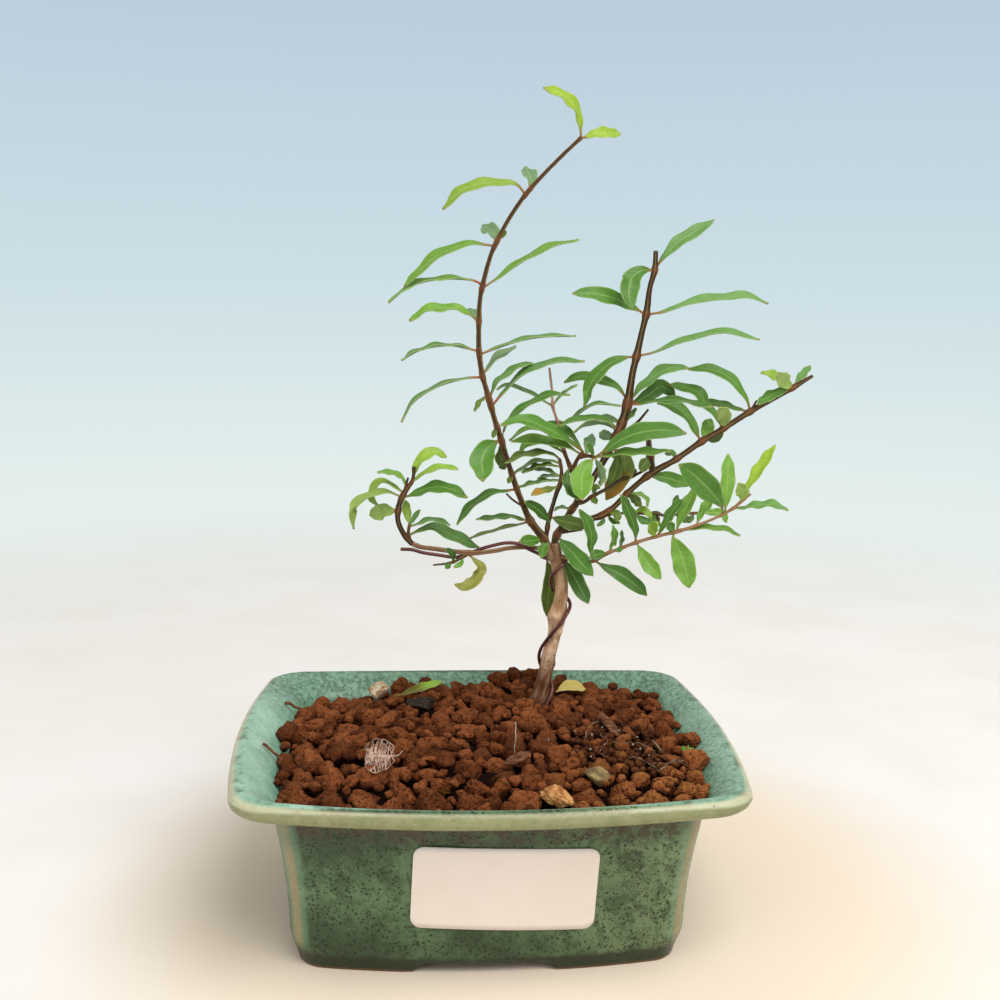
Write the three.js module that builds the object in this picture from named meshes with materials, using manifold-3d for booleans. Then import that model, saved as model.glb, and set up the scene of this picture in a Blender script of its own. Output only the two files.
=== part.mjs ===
// A young pomegranate bonsai in a glazed training pot: bare tan trunk, wired left branch, long leafy shoots,
// coarse porous soil with a few fallen leaves and stones on it. Millimetres, +Z up, front towards -Y.
import * as THREE from 'three';
import { mergeVertices } from 'three/addons/utils/BufferGeometryUtils.js';
import Module from 'manifold-3d';

const wasm = await Module();
wasm.setup();
const { Manifold, Mesh: SolidMesh } = wasm;

// ---------------------------------------------------------------- driving dimensions

const GAP = 0.32; // clearance between pieces that touch
const WALL_GAP = 0.46; // clearance of the soil along the pot's leaning wall
const SHORTEST_EDGE = 0.05; // slivers left along a seam are closed up

// pot: a rounded rectangle whose sides bulge, under a wide flared rim
const RIM_HALF_WIDTH = 75;
const RIM_HALF_DEPTH = 62.2;
const DEPTH_INSET_SHARE = 0.83; // the body draws in less front to back
const SHORT_SIDE_BULGE = 3.5;
const LONG_SIDE_BULGE = 4.0;
const RIM_TOP = 55.2;
const RIM_SAG = 1.8; // the middle of each long side hangs lower than the corners
const SAG_FROM = 40;
const SIDE_STEPS = [4, 6]; // short sides, long sides
const CORNER_STEPS = 2;
// [inset from the rim's edge, height, corner radius]
const OUTER_PROFILE = [
  [18.3, 0, 9], [17.5, 3.2, 9], [16.2, 7.5, 9], [15.8, 15, 9], [14.7, 26.8, 9.5],
  [13.0, 37.5, 10], [10.6, 46.9, 10.5], [4.5, 49.0, 11.5], [0.8, 50.4, 12], [0, 52.4, 12], [0.9, 54.2, 12],
];
const CREST = [3.0, RIM_TOP, 12];
const INNER_PROFILE = [
  [5.2, 54.5, 11], [9.6, 51.6, 10], [12.8, 48.2, 9], [14.4, 44.2, 9], [17.6, 30, 8], [19.8, 15, 7],
  [22.4, 9.2, 6], [26, 7, 6],
];
const FLOOR_TOP = 7;

// foot ring: four corner feet left between a notch in each side
const NOTCH_HEIGHT = 3.0;
const NOTCH_CENTRE_X = -1.8;
const NOTCH_HALF_FOOT = 20.9;
const NOTCH_HALF_TOP = 15.7;
const RECESS_INSET = 25;
const RECESS_HEIGHT = 2.5;
const RECESS_CORNER = 6;

// drainage
const DRAIN_X = 28;
const DRAIN_RADIUS = 7;
const MESH_SIDE = 22;
const MESH_THICKNESS = 1.0;
const MESH_HOLE = 3.2;
const MESH_PITCH = 5.2;

// label
const LABEL_WIDTH = 51;
const LABEL_HEIGHT = 25;
const LABEL_CENTRE_X = 3.4;
const LABEL_CENTRE_Z = 26.5;
const LABEL_TURN = 0.035;
const LABEL_CORNER = 3;
const LABEL_THICKNESS = 0.4;
const LABEL_BENDS = [-19.9, -3.4, 13.1]; // from the label's middle, where the pot's front bends

// soil
const SOIL_EDGE = 47.4;
const SOIL_RISE = 6.0;
const SOIL_HALF_X = 64;
const SOIL_HALF_Y = 60;
const SOIL_TILT = 1.2; // higher at the right edge than in the middle, and as much lower at the left edge
const BACK_FALL = { from: 36, to: 52, drop: 1.0 };
const MOUNDS = [
  { x: 15, y: 45, rise: 4.0, radius: 13 },
  { x: -46, y: 42, rise: -2.0, radius: 12 },
];
const GRAIN_PITCH = 11.4;
const GRAIN_RISE = 2.0;
const GRAIN_VALLEY = 2.2;
const GRAIN_TOP_SHARE = 0.56;
const GRAIN_SCATTER = 0.3; // how far a corner strays, as a share of the pitch

// the plant: branches are laid out as they show from SIGHT in the upright plane through the trunk
const PLANE_Y = 24;
const SIGHT = new THREE.Vector3(-23.8, -363.5, 189.3);
const WOOD_SIDES = 6;
const TRUNK_SIDES = 8;
const TWIG_SIDES = 5;
const TWIG_FROM_RADIUS = 0.7; // thinner limbs have fewer sides
const LEAF_THICKNESS = 0.66;
const LEAF_WAVE = 0.45;
const LEAF_FOLD = 0.24; // how far the blade's edges rise over its rib, as a share of the half width
const FOLDED_WIDTH = 5.4; // wider blades are folded along the rib
const LEAF_STEP = 10; // length of blade between bends
const PETIOLE_HALF = 0.42;

// training wire
const WIRE_RADIUS = 0.56;
const WIRE_SIDES = 6;
const WIRE_STEPS = 74;
const WIRE_SLACK = 0.16;

// ---------------------------------------------------------------- the plant's layout
// wood: [x, z, depth behind the trunk's plane, radius]
// leaf: [depth of the tip behind its root, width, turn of the upper face away from SIGHT and upwards,
//        x, z, x, z ...]

const TRUNK = [
  [[17.4, 37, 0, 2.5], [18.3, 47, 0, 3.0], [18.8, 53, 0, 2.85], [19.6, 55.5, 0, 2.8], [20.7, 60, 0, 2.4],
    [21.7, 65, 0, 2.35], [22.5, 70, 0, 2.3], [23.8, 75, 0, 2.15], [24.4, 79.5, 0, 2.4], [24.7, 82.2, 0, 2.9],
    [25.2, 85, 0, 2.7], [25.8, 88.5, 0, 2.25], [25.9, 94, 0, 2.1], [25.1, 98.8, 0, 2.3], [24.1, 102.3, 0, 2.2],
    [23.6, 105.6, 0.1, 1.7], [23.4, 107.4, 0.2, 1.4]],
  [[24.3, 101.2, 0, 1.6], [22.4, 103.2, 0, 1.7], [21.0, 105.6, 0, 1.6], [20.4, 107.6, 0, 1.5]],
];

const TALL_SHOOT = {
  wood: [
    [[20.8, 106.6, 0, 1.4], [19.6, 109.2, -0.2, 1.45], [17.4, 111.9, -0.5, 1.4], [15.4, 114.6, -0.9, 1.25],
      [12.8, 120, -1.4, 1.05], [10.3, 126.2, -2, 1.05], [7.8, 133.5, -2.6, 0.92], [5.3, 141.2, -3.2, 1.0],
      [3.2, 147.3, -3.7, 0.9], [2, 151.4, -4, 1.0], [0.2, 157.4, -4.3, 0.88], [-0.8, 160.8, -4.4, 0.95],
      [-2, 168.4, -4.6, 0.92], [-2.2, 177.1, -4.6, 0.86], [-2, 184, -4.5, 0.8], [-1.3, 188.3, -4.4, 0.85],
      [1.1, 197.7, -4.1, 0.75], [2.5, 201.1, -4, 0.8], [6.2, 208.4, -3.7, 0.72], [11.4, 216.2, -3.4, 0.75],
      [17.5, 223.1, -3, 0.68], [23.9, 229.6, -2.6, 0.66], [28.1, 233.6, -2.2, 0.62]],
    [[12.4, 119.6, -1.6, 0.4], [9.6, 121.4, -2.8, 0.38], [7.5, 123.4, -3.6, 0.34]],
  ],
  leaves: [
    [-8, 4.6, 50, 28, 235, 26.6, 241.6, 22.8, 245.4, 16.2, 247.9],
    [8, 4.2, 38, 28.3, 233, 34.8, 235.1, 40.1, 234.9],
    [-8, 5.2, 55, 11.2, 216.5, 9, 219, 4.8, 219.7, 0, 219.5, -7.4, 217.4, -13.8, 211.3],
    [13, 5, 30, 12.6, 218.3, 12.8, 221.5, 11.2, 224.5],
    [-7, 5.2, 58, 1.6, 201, -4.2, 201.2, -10.7, 199.5, -17, 196, -21.4, 191.5, -25.4, 187.8],
    [14, 5, 25, 2.8, 202, 1.5, 205, -1.5, 206.8],
    [1, 1.8, 20, 3.2, 202.6, 5.8, 205.2],
    [-8, 5, 75, -2.2, 188.8, -3.5, 190, -10.1, 190.6, -17.8, 189.8, -24.5, 187.4, -30.2, 182.8],
    [7, 5, 69, -1, 187.7, 4.9, 192.1, 13.9, 198, 20.2, 200.9, 28.3, 203.2],
    [-9, 5, 60, -2.9, 177.2, -4.9, 179.7, -8.6, 181.3, -14.1, 181.4, -18.7, 180.6, -23.7, 177.4],
    [12, 4.6, 40, -2.4, 177.6, -3.6, 179.8, -5.2, 181.4],
    [-8, 5, 80, -2.7, 168.4, -9.9, 170.1, -16.2, 169.6, -20.8, 168.3, -26.1, 165.2],
    [7, 5, 79, -1.1, 167.5, 3, 169.4, 9.5, 171.6, 16.9, 173.1, 28.3, 173.6],
    [11, 4.4, 58, 0, 161.4, 1.2, 163.4, 3.5, 166.6, 6.7, 168.5, 9.5, 170.2],
    [-8, 5, 78, -1.2, 160.2, -6, 160, -15.2, 157.1, -22.6, 151.9, -26, 145.9],
    [4, 4.6, 64, 1.4, 153.2, 3.5, 158.5, 7.5, 161.8, 10.5, 164, 14.8, 164.9],
    [5, 5.2, 68, 2.5, 151.2, 7.5, 157.5, 11.2, 160.9, 16.3, 163.7, 22.3, 165.4, 31.3, 165.8],
    [-2, 2.6, 55, 0.9, 154.6, -1.3, 152.7, -3.1, 149.6],
    [-12, 7.6, 0, 4.6, 140.6, 0.9, 137.8, -0.5, 134, -0.2, 130.5, -0.1, 127.3],
    [8, 4.6, 30, 5.5, 140, 5.3, 136, 6.8, 131.4],
    [-1, 4.4, 62, 5.6, 140.7, 6.8, 145, 8.7, 148.3, 15, 152.6, 19.8, 155, 27, 155.2],
    [-1, 1.9, 30, 4.3, 144.8, 3.4, 143, 2.8, 141.3],
    [-2, 1.8, 20, 9.6, 129.8, 8, 126.8],
    [-8, 4.6, 56, 9.8, 124.5, 5.8, 124.1, 1.6, 123.1, -2.5, 120.2, -7, 115.2, -8.1, 113.2],
    [-7, 4.2, 66, 15, 114.2, 11.8, 115.2, 9.2, 115.9, 4.7, 115.5, -2, 115],
    [4, 3.6, 77, 15.2, 114.4, 12.1, 113.6, 6.5, 112.2, -4.1, 108.8],
    [-8, 3.9, 15, 20.2, 109.3, 18.5, 108.5, 15.1, 108.1, 12, 107.9],
    [-6, 3.6, 20, 19.9, 108.9, 20.2, 106.6, 19.4, 104.4, 19.3, 102.5],
  ],
};

const INNER_SHOOT = {
  wood: [
    [[20.3, 107.2, 0.2, 0.95], [20.8, 111.5, 0.6, 0.75], [21.4, 115.8, 1, 0.75], [22.7, 120.6, 1.4, 0.72],
      [23.5, 123.6, 1.7, 0.78], [24.5, 126.3, 2, 0.7], [25, 128.5, 2.2, 0.66], [24.9, 131.4, 2.5, 0.5],
      [24.2, 134.8, 2.8, 0.45]],
  ],
  leaves: [
    [-10, 4.4, 60, 24.2, 134.4, 21.9, 136.5, 18.2, 136.6, 14.5, 136.3, 10.8, 135.3, 6.8, 133.2],
    [2, 4.4, 74, 24.6, 133.2, 22, 134.1, 18.3, 134.1, 14.6, 133, 9.8, 129.9],
    [-2, 4, 70, 24.7, 132.3, 19.8, 132.8, 16.2, 131.8, 12.5, 130.1],
    [5, 4, 68, 25, 128.9, 22.1, 130.3, 18.4, 131.3, 15.4, 131.2, 12.2, 130.3],
    [1, 3, 72, 25, 129.3, 19.9, 129.1, 17.3, 128.3],
    [-2, 3.8, 72, 24.8, 127.9, 19.9, 127.7, 16.2, 126.8, 11.2, 125.5],
    [-6, 4, 55, 24.4, 126.2, 22.2, 125.1, 19.3, 124.2, 15.5, 123.1],
    [-4, 4.8, 10, 21.5, 116, 25.2, 114.8, 28.9, 113.9, 33.8, 112.9],
    [-4, 3.8, 25, 21, 112.6, 21.3, 114.4, 18.8, 117.2, 16.2, 119.3, 13.2, 120.9],
  ],
};

const CROWN_SPRAY = {
  wood: [
    [[23.5, 106, 0.1, 1.3], [23.5, 108.2, 0.3, 1.3], [24.2, 110.4, 0.6, 1.25], [25.7, 113.2, 1.1, 1.15],
      [27.3, 116.2, 1.6, 1.15], [28.9, 118.8, 2, 1.15], [30.2, 120.8, 2.4, 1.25], [30.3, 124, 2.4, 0.95],
      [29.4, 127.5, 2.3, 0.9], [28.2, 131, 2.2, 0.8], [26.8, 134.3, 2, 0.72], [25.6, 137, 1.9, 0.55]],
    [[28.7, 129.4, 2.2, 0.75], [29.2, 133, 1.8, 0.7], [30.4, 135.4, 1.5, 0.65], [31.8, 137, 1.4, 0.6]],
    [[30.4, 135.2, 1.5, 0.6], [33, 135.8, 1.2, 0.55], [35.6, 135.3, 1, 0.5]],
    [[26.8, 134, 2, 0.5], [25.4, 138.5, 3.2, 0.5], [24.2, 143, 3.6, 0.48], [22.9, 147.5, 3.4, 0.46],
      [21.6, 151.4, 3.2, 0.55], [21.3, 155.9, 3, 0.42], [20.7, 160, 2.8, 0.5], [20.2, 163.6, 2.7, 0.35]],
    [[30, 120.4, 2.4, 0.75], [32.6, 120.9, 2.8, 0.62], [34.7, 122.5, 3.2, 0.6], [37.1, 123.8, 3.8, 0.6],
      [41.2, 126.1, 4.8, 0.58], [44.4, 128.4, 5.8, 0.6], [47.7, 129.3, 7.2, 0.52], [52.4, 131.7, 9.4, 0.45]],
    [[24.4, 110.6, 0.6, 0.5], [28.9, 111.3, -0.6, 0.42], [32.3, 111.8, -1.2, 0.35]],
  ],
  leaves: [
    [-13, 5, 40, 31.4, 137.6, 27.3, 140.4, 23.6, 142.6, 19.6, 144.4, 15.2, 146.4, 10.8, 146.9, 5.3, 145.3],
    [-5, 4.6, 44, 31, 136.3, 27.4, 138.4, 23.7, 139.9, 19.6, 140.3, 15.2, 140.8, 8.7, 140.1],
    [2, 4, 56, 31.4, 137.2, 28.1, 141.7, 25.5, 144.1, 23, 145.4, 18.6, 146],
    [10, 4, 20, 32.4, 136, 33.4, 139.6, 34.4, 142.8],
    [4, 3.6, 68, 25.8, 137, 20, 143, 15, 144.6, 12.9, 143.8, 8, 140.5],
    [7, 3.2, 40, 25.8, 136.6, 19, 140.3, 13.5, 139.2, 11.2, 136.2],
    [-6, 6.4, 20, 35.4, 135.5, 39.8, 138.2, 44, 141.2, 49, 143.2, 54.8, 144.2, 59.7, 144.1, 64.8, 143.3],
    [-3, 4.6, 57, 35.5, 135.2, 40.6, 136.1, 45.6, 137, 50.6, 137, 55.5, 137.3, 60, 137.6],
    [-16, 7.2, 0, 35.6, 135, 33.3, 133, 31.7, 130, 31.6, 126.3, 31.8, 121.5],
    [-9, 4.2, 130, 35.6, 135, 37.4, 131.2, 38.1, 128.6, 37.7, 126.3],
    [-4, 2, 30, 35.2, 135.6, 34.2, 137.8, 32.7, 139.8],
    [-8, 4, 20, 27.9, 132.6, 26.6, 128.9, 27.9, 125.6, 30.5, 121.6],
    [-4, 2.4, 10, 29.4, 127.6, 27.6, 125.6, 27.2, 123.3],
    [-3, 2.4, 20, 34.6, 122.6, 35.6, 121.6, 36.5, 120.4],
    [-2, 2, 20, 35.4, 123, 36, 125.8, 37.6, 125.4],
    [2, 1.8, 20, 47.8, 129.3, 48.8, 131.6],
    [-2, 3, 76, 28.6, 118.6, 25.1, 119, 22.9, 118],
    [-12, 6, 10, 24.2, 110.2, 26, 107.5, 28.7, 104.8, 31.4, 101.8, 33.7, 99.2, 36.2, 96.7],
    [3, 3.6, 75, 23.1, 147, 26.1, 146.5, 29, 148.5, 31.9, 150.8, 35.2, 152.3, 43.2, 151.9],
    [3, 3.6, 70, 21.5, 151.6, 14.9, 155.3, 10.2, 157.4, 5.6, 157.7, 3.8, 156.5],
    [2, 2.6, 72, 21.9, 151.9, 24, 154.8, 26.4, 156.7, 29.2, 158.4],
  ],
};

const UPRIGHT_SHOOT = {
  wood: [
    [[30.5, 121.3, 2.4, 1.1], [33.6, 125.6, 3.6, 1.15], [36, 130, 4.8, 1.1], [38.2, 134, 5.4, 1.15],
      [39.9, 137.6, 5.8, 1.15], [41.6, 141.2, 6.1, 1.25], [43.3, 144.8, 6.3, 1.35], [45.3, 152.2, 6.6, 1.4],
      [46.7, 162.6, 6.9, 1.15], [47.7, 167.5, 7.1, 1.2], [49.4, 176.6, 7.4, 1.0], [50.3, 181, 7.5, 1.1],
      [51.1, 189.1, 7.8, 0.88], [52.4, 194.4, 8, 0.92], [52.5, 200.3, 8.1, 0.75]],
    [[43.8, 143.4, 6.2, 0.5], [48.5, 146.5, 6, 0.5], [52.2, 150.9, 5.8, 0.38]],
  ],
  leaves: [
    [8, 5, 35, 52.6, 194.6, 55.8, 199.3, 60.1, 203.5, 64.8, 206.5, 70.3, 210],
    [-12, 6.4, 20, 52.1, 194.3, 48.5, 194.2, 45.2, 191.5, 44.5, 187, 45.5, 182.3],
    [-8, 5.4, 30, 50, 180.6, 46, 182.8, 41.1, 185, 35, 186.6, 26.9, 186.8],
    [8, 5.4, 62, 50.6, 180.6, 55.9, 181.6, 66.3, 185.2, 75.7, 186.2, 81.2, 187, 89, 184.7],
    [-6, 5.2, 68, 48, 167.6, 53.1, 168.9, 58.6, 171.1, 64.1, 173.2, 75.7, 175.5, 87, 173.4],
    [-6, 5.4, 42, 47.4, 167.5, 43.7, 167.1, 39.3, 165.1, 35.6, 161.9, 33, 157.5, 31.5, 151.4],
    [9, 4.8, 46, 45.3, 153.4, 41.8, 158, 36.8, 159.6, 30.8, 161.1, 25, 159],
    [-6, 5, 66, 45.4, 152.4, 49.9, 152.7, 54.9, 153.6, 62.7, 153.7, 72.7, 151.9],
    [-2, 5.2, 50, 45.5, 153, 50.7, 158.8, 54.6, 162.1, 59.1, 164.1, 64.6, 163.9],
    [10, 5, 0, 45.4, 151.6, 52, 155.5, 56, 158.2, 60.5, 155.5],
    [3, 2.6, 40, 44, 146, 46.3, 148.6, 48.3, 151.2],
    [-9, 4.4, 65, 42.9, 144.2, 39.6, 146.9, 35.6, 147.7, 31.2, 147.7, 27.6, 146.6, 23.9, 145.3],
    [-10, 4, 112, 42.9, 143.9, 38.9, 145.9, 34.5, 146.2, 31.2, 145.2, 28.3, 143.2],
    [8, 2.4, 10, 43.9, 146.4, 40, 147.8, 37, 148.7],
    [6, 3.6, 10, 42, 142, 39.5, 142.2, 36.8, 143.2],
    [5, 7, 15, 40.2, 138.2, 44.6, 136.4, 45.2, 131.5, 42.3, 126.5, 39.6, 121.6],
    [0.5, 4.2, 0, 39.2, 136.2, 42.6, 135.4, 42.3, 130.7, 40.1, 125.8],
  ],
};

const RIGHT_BRANCH = {
  wood: [
    [[24.8, 111, 0.8, 0.95], [28, 112.7, 2.2, 0.95], [33, 114.9, 3.2, 0.95], [38, 116.4, 3.8, 1.1],
      [41.4, 118.6, 4.2, 0.95], [46.4, 123.8, 4.8, 0.95], [50, 127.2, 5.4, 0.95], [54.4, 130.7, 6, 1.15],
      [61.5, 134.8, 7, 0.98], [69.8, 140.8, 8.2, 1.05], [76.8, 145.1, 9.2, 0.98], [85.4, 150.8, 10.2, 0.98],
      [93.2, 155.2, 11, 0.8], [98.6, 158.4, 11.6, 0.85], [104.7, 162.2, 12.2, 0.55]],
    [[54.4, 130.6, 6, 1.2], [53.6, 134.5, 6.8, 1.25], [52.9, 138.5, 7.6, 1.1], [52.6, 141, 8.2, 1.0]],
    [[38.8, 116.7, 3.9, 0.6], [44.8, 117.3, 4.9, 0.45], [53.4, 117.3, 6, 0.45], [56.3, 117.5, 6.5, 0.65],
      [58.2, 116.7, 6.8, 0.5], [65.6, 117.3, 7.6, 0.45], [70.4, 117.5, 8, 0.4]],
    [[56.5, 117.4, 6.5, 0.6], [56.8, 115, 6.3, 0.5]],
    [[85.3, 150.6, 10.2, 0.55], [87, 154.2, 10.6, 0.32]],
  ],
  leaves: [
    [-4, 4.4, 50, 98.6, 158.4, 94.6, 161.4, 87.9, 163],
    [-10, 5, 10, 98.4, 158.2, 95.6, 160.4, 93.8, 163.2],
    [5, 3.4, 40, 98.8, 158.6, 101.5, 162.5, 103.8, 165.4],
    [-5, 4.4, 40, 98.2, 158.2, 93, 156.5, 87.3, 152.9],
    [0, 5, 50, 85, 150.8, 83.8, 154.2, 81.5, 157.5, 76.4, 162, 70.7, 163.8, 64.3, 163.8],
    [8, 4.8, 60, 84.8, 150.4, 79.7, 151.7, 74.1, 153, 66.2, 152.5],
    [4, 5, 45, 76.6, 145, 73.4, 149.7, 70.6, 152.6, 68.7, 155.5, 65.4, 157.5, 58.4, 158.7],
    [-8, 5, 10, 76.7, 145.1, 76.8, 148.5, 75.2, 151.8],
    [6, 3.2, 20, 76.6, 145, 75.6, 142.8, 72.3, 141],
    [9, 4.4, 10, 70.2, 141, 71.2, 144.2, 72.3, 148],
    [3, 5.2, 45, 69.5, 140.8, 67.9, 143.7, 66.2, 146.9, 63.7, 149.5, 60.1, 152, 54.9, 152.8],
    [3, 2.2, 20, 62, 135.2, 60.4, 137, 58.2, 136.6],
    [4, 4.8, 15, 52.6, 129.2, 57.4, 129.2, 62.6, 127.9, 67, 127],
    [-4, 3.8, 0, 53.3, 136, 51.6, 133.2, 50.6, 131],
    [-4, 3.4, 70, 46.4, 123.8, 50, 123.5, 52.5, 122, 53.2, 119.6],
    [3, 3.4, 25, 46.2, 123.4, 49.2, 121.5, 51, 119.7],
    [-4, 3.4, 30, 40.4, 118, 42.8, 117, 43.6, 114.6],
    [-2, 1.9, 40, 38.6, 116.2, 38.8, 114.4, 37, 113.1],
    [-2, 2, 40, 40.2, 116.9, 42, 114.6, 44.4, 114.1],
    [-4, 2.6, 30, 48.8, 117.3, 51.5, 118.6, 54.8, 116],
    [-6, 2.8, 20, 49.4, 117.3, 51.5, 115.2, 55, 114.2],
    [4, 3, 20, 52, 117.3, 55, 116, 57.4, 113.2],
    [4, 2.8, 160, 68.4, 117.4, 67.5, 115.7, 64, 115],
    [5, 2.6, 20, 61.4, 117, 62, 119.8, 62.8, 123.3],
    [-1, 3, 20, 70.4, 117.5, 75.3, 117.7, 78, 117, 79.2, 114.4],
  ],
};

const LOWER_TWIG = {
  wood: [
    [[24.6, 103.4, -0.4, 0.8], [28, 102.3, -1.8, 0.7], [33, 101.2, -3.8, 0.65], [36.6, 101.7, -5.2, 0.65],
      [41, 104.3, -6.8, 0.6], [44, 105.4, -7.6, 0.6], [49.7, 107.6, -9.2, 0.62], [56.4, 109.7, -10.8, 0.6],
      [62.8, 111.3, -12.2, 0.66], [69.4, 113.4, -13.4, 0.56], [75.9, 116.1, -14.4, 0.46],
      [81.2, 119.1, -15.2, 0.52], [84.2, 121.8, -15.8, 0.48], [86.9, 123.9, -16.2, 0.32]],
  ],
  leaves: [
    [-5, 5.4, 10, 26.2, 103, 26.9, 101.6, 29.2, 97.6, 31.9, 92.9, 35, 87.3],
    [-3, 5.2, 15, 36.4, 101.6, 39.9, 99.6, 43.7, 97.9, 47.4, 95.6, 50.7, 93.1, 54.1, 90],
    [-1, 4.4, 35, 36, 101.5, 35.2, 105, 35.3, 108.2, 34.7, 112, 32.9, 115.8, 31, 118.4],
    [-4, 3.4, 10, 40.4, 104, 37.6, 103.8, 35, 102.6],
    [3, 3.4, 50, 41.2, 104.4, 42.2, 107.5, 42.5, 110.5, 42.1, 113.3],
    [-2, 1.8, 0, 45.6, 106.1, 44.6, 105.4, 43.4, 105],
    [3, 2.6, 60, 44.6, 105.6, 45, 108.5, 45, 111.6],
    [-3, 4.2, 30, 49.7, 107.6, 49.6, 110.5, 48.8, 113.5, 47.2, 117.3, 44.3, 123.4],
    [-4, 5, 10, 50, 107.5, 51.8, 104.5, 53.5, 101.5, 55.9, 98.6, 58.5, 95.6],
    [-5, 3.6, 10, 56, 109.6, 55.2, 112, 56.4, 114.4],
    [3, 4, 40, 56.6, 109.8, 59.2, 114, 61.5, 118.3, 65, 122.1],
    [-2, 3, 10, 62, 111.1, 61, 113, 60.6, 114.7],
    [-5, 7.2, 0, 62.4, 111.2, 61.9, 109.5, 63.7, 106.1, 65.3, 102.5, 66.6, 98.5, 68, 92.6],
    [4, 4.6, 35, 63, 111.4, 63.5, 114.3, 65.4, 118.2, 67, 121.8, 68.6, 126],
    [-2, 4, 64, 63.8, 111.6, 68.9, 112.4, 72.5, 112.6, 76.1, 112.4, 79.7, 111.8, 84, 110.1],
    [5, 3.8, 40, 69.4, 113.4, 70.1, 115.6, 71, 117.3, 73, 120.5, 76, 123.5],
    [-5, 8, 0, 78, 117.2, 77.4, 119.8, 74.6, 123.6, 70.2, 127.9, 66.5, 131, 62.8, 133.3],
    [6, 4.8, 20, 78.6, 117.6, 78.8, 122, 78.9, 127, 78.8, 132, 78.6, 136.9],
    [-6, 4.4, 58, 81.2, 119.1, 85, 119.4, 91.7, 120.3, 95.3, 120.1, 99.5, 118.4],
    [-4, 4.4, 10, 83.6, 121.3, 84, 124, 82.6, 127.4],
    [5, 4.6, 42, 84.4, 122, 85.2, 124.8, 88.3, 130.5, 92.6, 137.7, 93.9, 139.9],
  ],
};

const LEFT_BRANCH = {
  wood: [
    [[21.4, 104.4, 0, 0.85], [19, 105.5, -0.4, 0.8], [16, 105.9, -0.8, 0.75], [12, 105.9, -1.2, 0.75],
      [8, 105.6, -1.6, 0.8], [5.3, 105, -1.9, 0.82], [0, 104.2, -2.4, 0.85], [-4, 104, -2.8, 0.95],
      [-9, 104.5, -3.2, 0.85], [-14.8, 105.3, -3.7, 0.85], [-19.8, 106, -4.1, 0.85], [-22.4, 107, -4.4, 0.95],
      [-24.4, 109.2, -4.6, 0.85], [-26.1, 112, -4.8, 0.85], [-27, 115, -5, 0.82], [-26.7, 119, -5.2, 0.9],
      [-25.7, 122, -5.4, 0.82], [-24.2, 124.8, -5.6, 0.7], [-22.4, 127.4, -5.8, 0.52], [-22, 131.8, -6, 0.6]],
    [[-22.8, 107.4, -4.4, 0.6], [-23.6, 110.4, -4.9, 0.55], [-23.2, 113.4, -5.1, 0.45]],
    [[-25.2, 123, -5.5, 0.4], [-23.8, 128.3, -6, 0.34]],
    [[-4.4, 103.8, -2.8, 0.55], [-7, 102.2, -3.6, 0.46], [-9.5, 100.9, -4.2, 0.42], [-15.6, 100, -4.8, 0.3]],
    [[21.5, 104.4, 0.3, 0.7], [20.8, 103.3, 3.6, 0.5]],
  ],
  leaves: [
    [-4.5, 2.2, 20, -9.4, 101, -9.2, 103.2, -11.6, 105.5],
    [-2, 2.2, 0, -10.2, 100.8, -10.9, 99.8, -11.4, 98.9],
    [-2, 1.9, 30, -6.2, 102.6, -6.6, 100.6, -8.9, 99.3],
    [-5, 4.6, 35, -4.4, 103.4, -2.2, 101.7, -0.4, 99.6, -0.9, 97, -2.6, 94.2, -5.4, 92.9, -8.6, 93.6],
    [3, 5.2, 20, -22.4, 127.2, -21.4, 131.5, -18.9, 135, -15.4, 136.6, -11.8, 134.9],
    [-5, 4, 62, -22.9, 126.8, -19.9, 129, -16.2, 131, -12.1, 131.7, -8.1, 131.2],
    [-6, 5, 42, -25.6, 121.8, -22.1, 122.9, -18.4, 124.6, -14.3, 125.4, -9.4, 124.3, -4.9, 122],
    [-2, 4, 65, -24.2, 125.2, -26, 128.4, -29.3, 129.7, -33.5, 129.9],
    [6, 4, 58, -25.4, 123.4, -29.3, 126.3, -31.9, 127, -34.1, 125.7, -35.6, 122, -33, 118.9],
    [-3, 4.2, 55, -25.8, 122.2, -30.8, 123.8, -34.5, 123, -40.4, 119.6, -41.6, 115.6, -40.9, 111.6],
    [7, 5.2, 10, -26.9, 117.6, -30.7, 117.6, -35.8, 116.2],
    [3, 3, 20, -23.3, 113, -24.2, 117.4, -24.6, 121.1],
    [-1, 1.9, 30, -23.2, 113, -21.5, 115.8, -20, 118],
    [-2, 3.6, 65, -23.2, 112.6, -20.5, 113.5, -17.5, 114.7, -13.7, 114.5, -10.3, 113],
    [6, 5, 40, -23.5, 109.6, -20.5, 111.2, -16.7, 112.4, -12.9, 111.3, -9.1, 109.4, -1, 105.8],
    [3, 5, 10, 20.9, 103.3, 21.2, 101, 22, 97.6, 22.1, 93.6, 21.8, 89, 21.6, 83],
  ],
};

// training wire: [height, angle round the trunk], then free points, then [x, angle round the left branch]
const WIRE_FOOT = [44, -70];
const WIRE_ROUND_TRUNK = [
  [50.4, -58], [53, -48], [55.5, -35], [58, -10], [60.5, 35], [63.5, 90], [66.5, 128], [69.4, 155],
  [72.2, 180], [74.5, 205], [76.8, 232], [79.2, 258], [81.5, 282], [83.6, 303], [85.6, 330], [87.2, 358],
  [88.6, 400], [90, 450], [91.4, 495], [93.2, 525], [95.9, 550], [98.2, 590], [100, 628],
  [101.2, 665], [102.2, 715],
];
const WIRE_FREE = [[25.4, 103, 3.2], [22.6, 102.6, 4.0], [20.1, 102.5, 2.2]];
const WIRE_ROUND_BRANCH = [
  [18.4, 195], [15, 262], [12, 318], [8, 358], [3.5, 392], [0, 420], [-3, 455], [-6, 500], [-9, 540],
  [-14, 562], [-19, 572], [-22.4, 562],
];
const WIRE_END = [-26, 105.2, -4.6];

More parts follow.
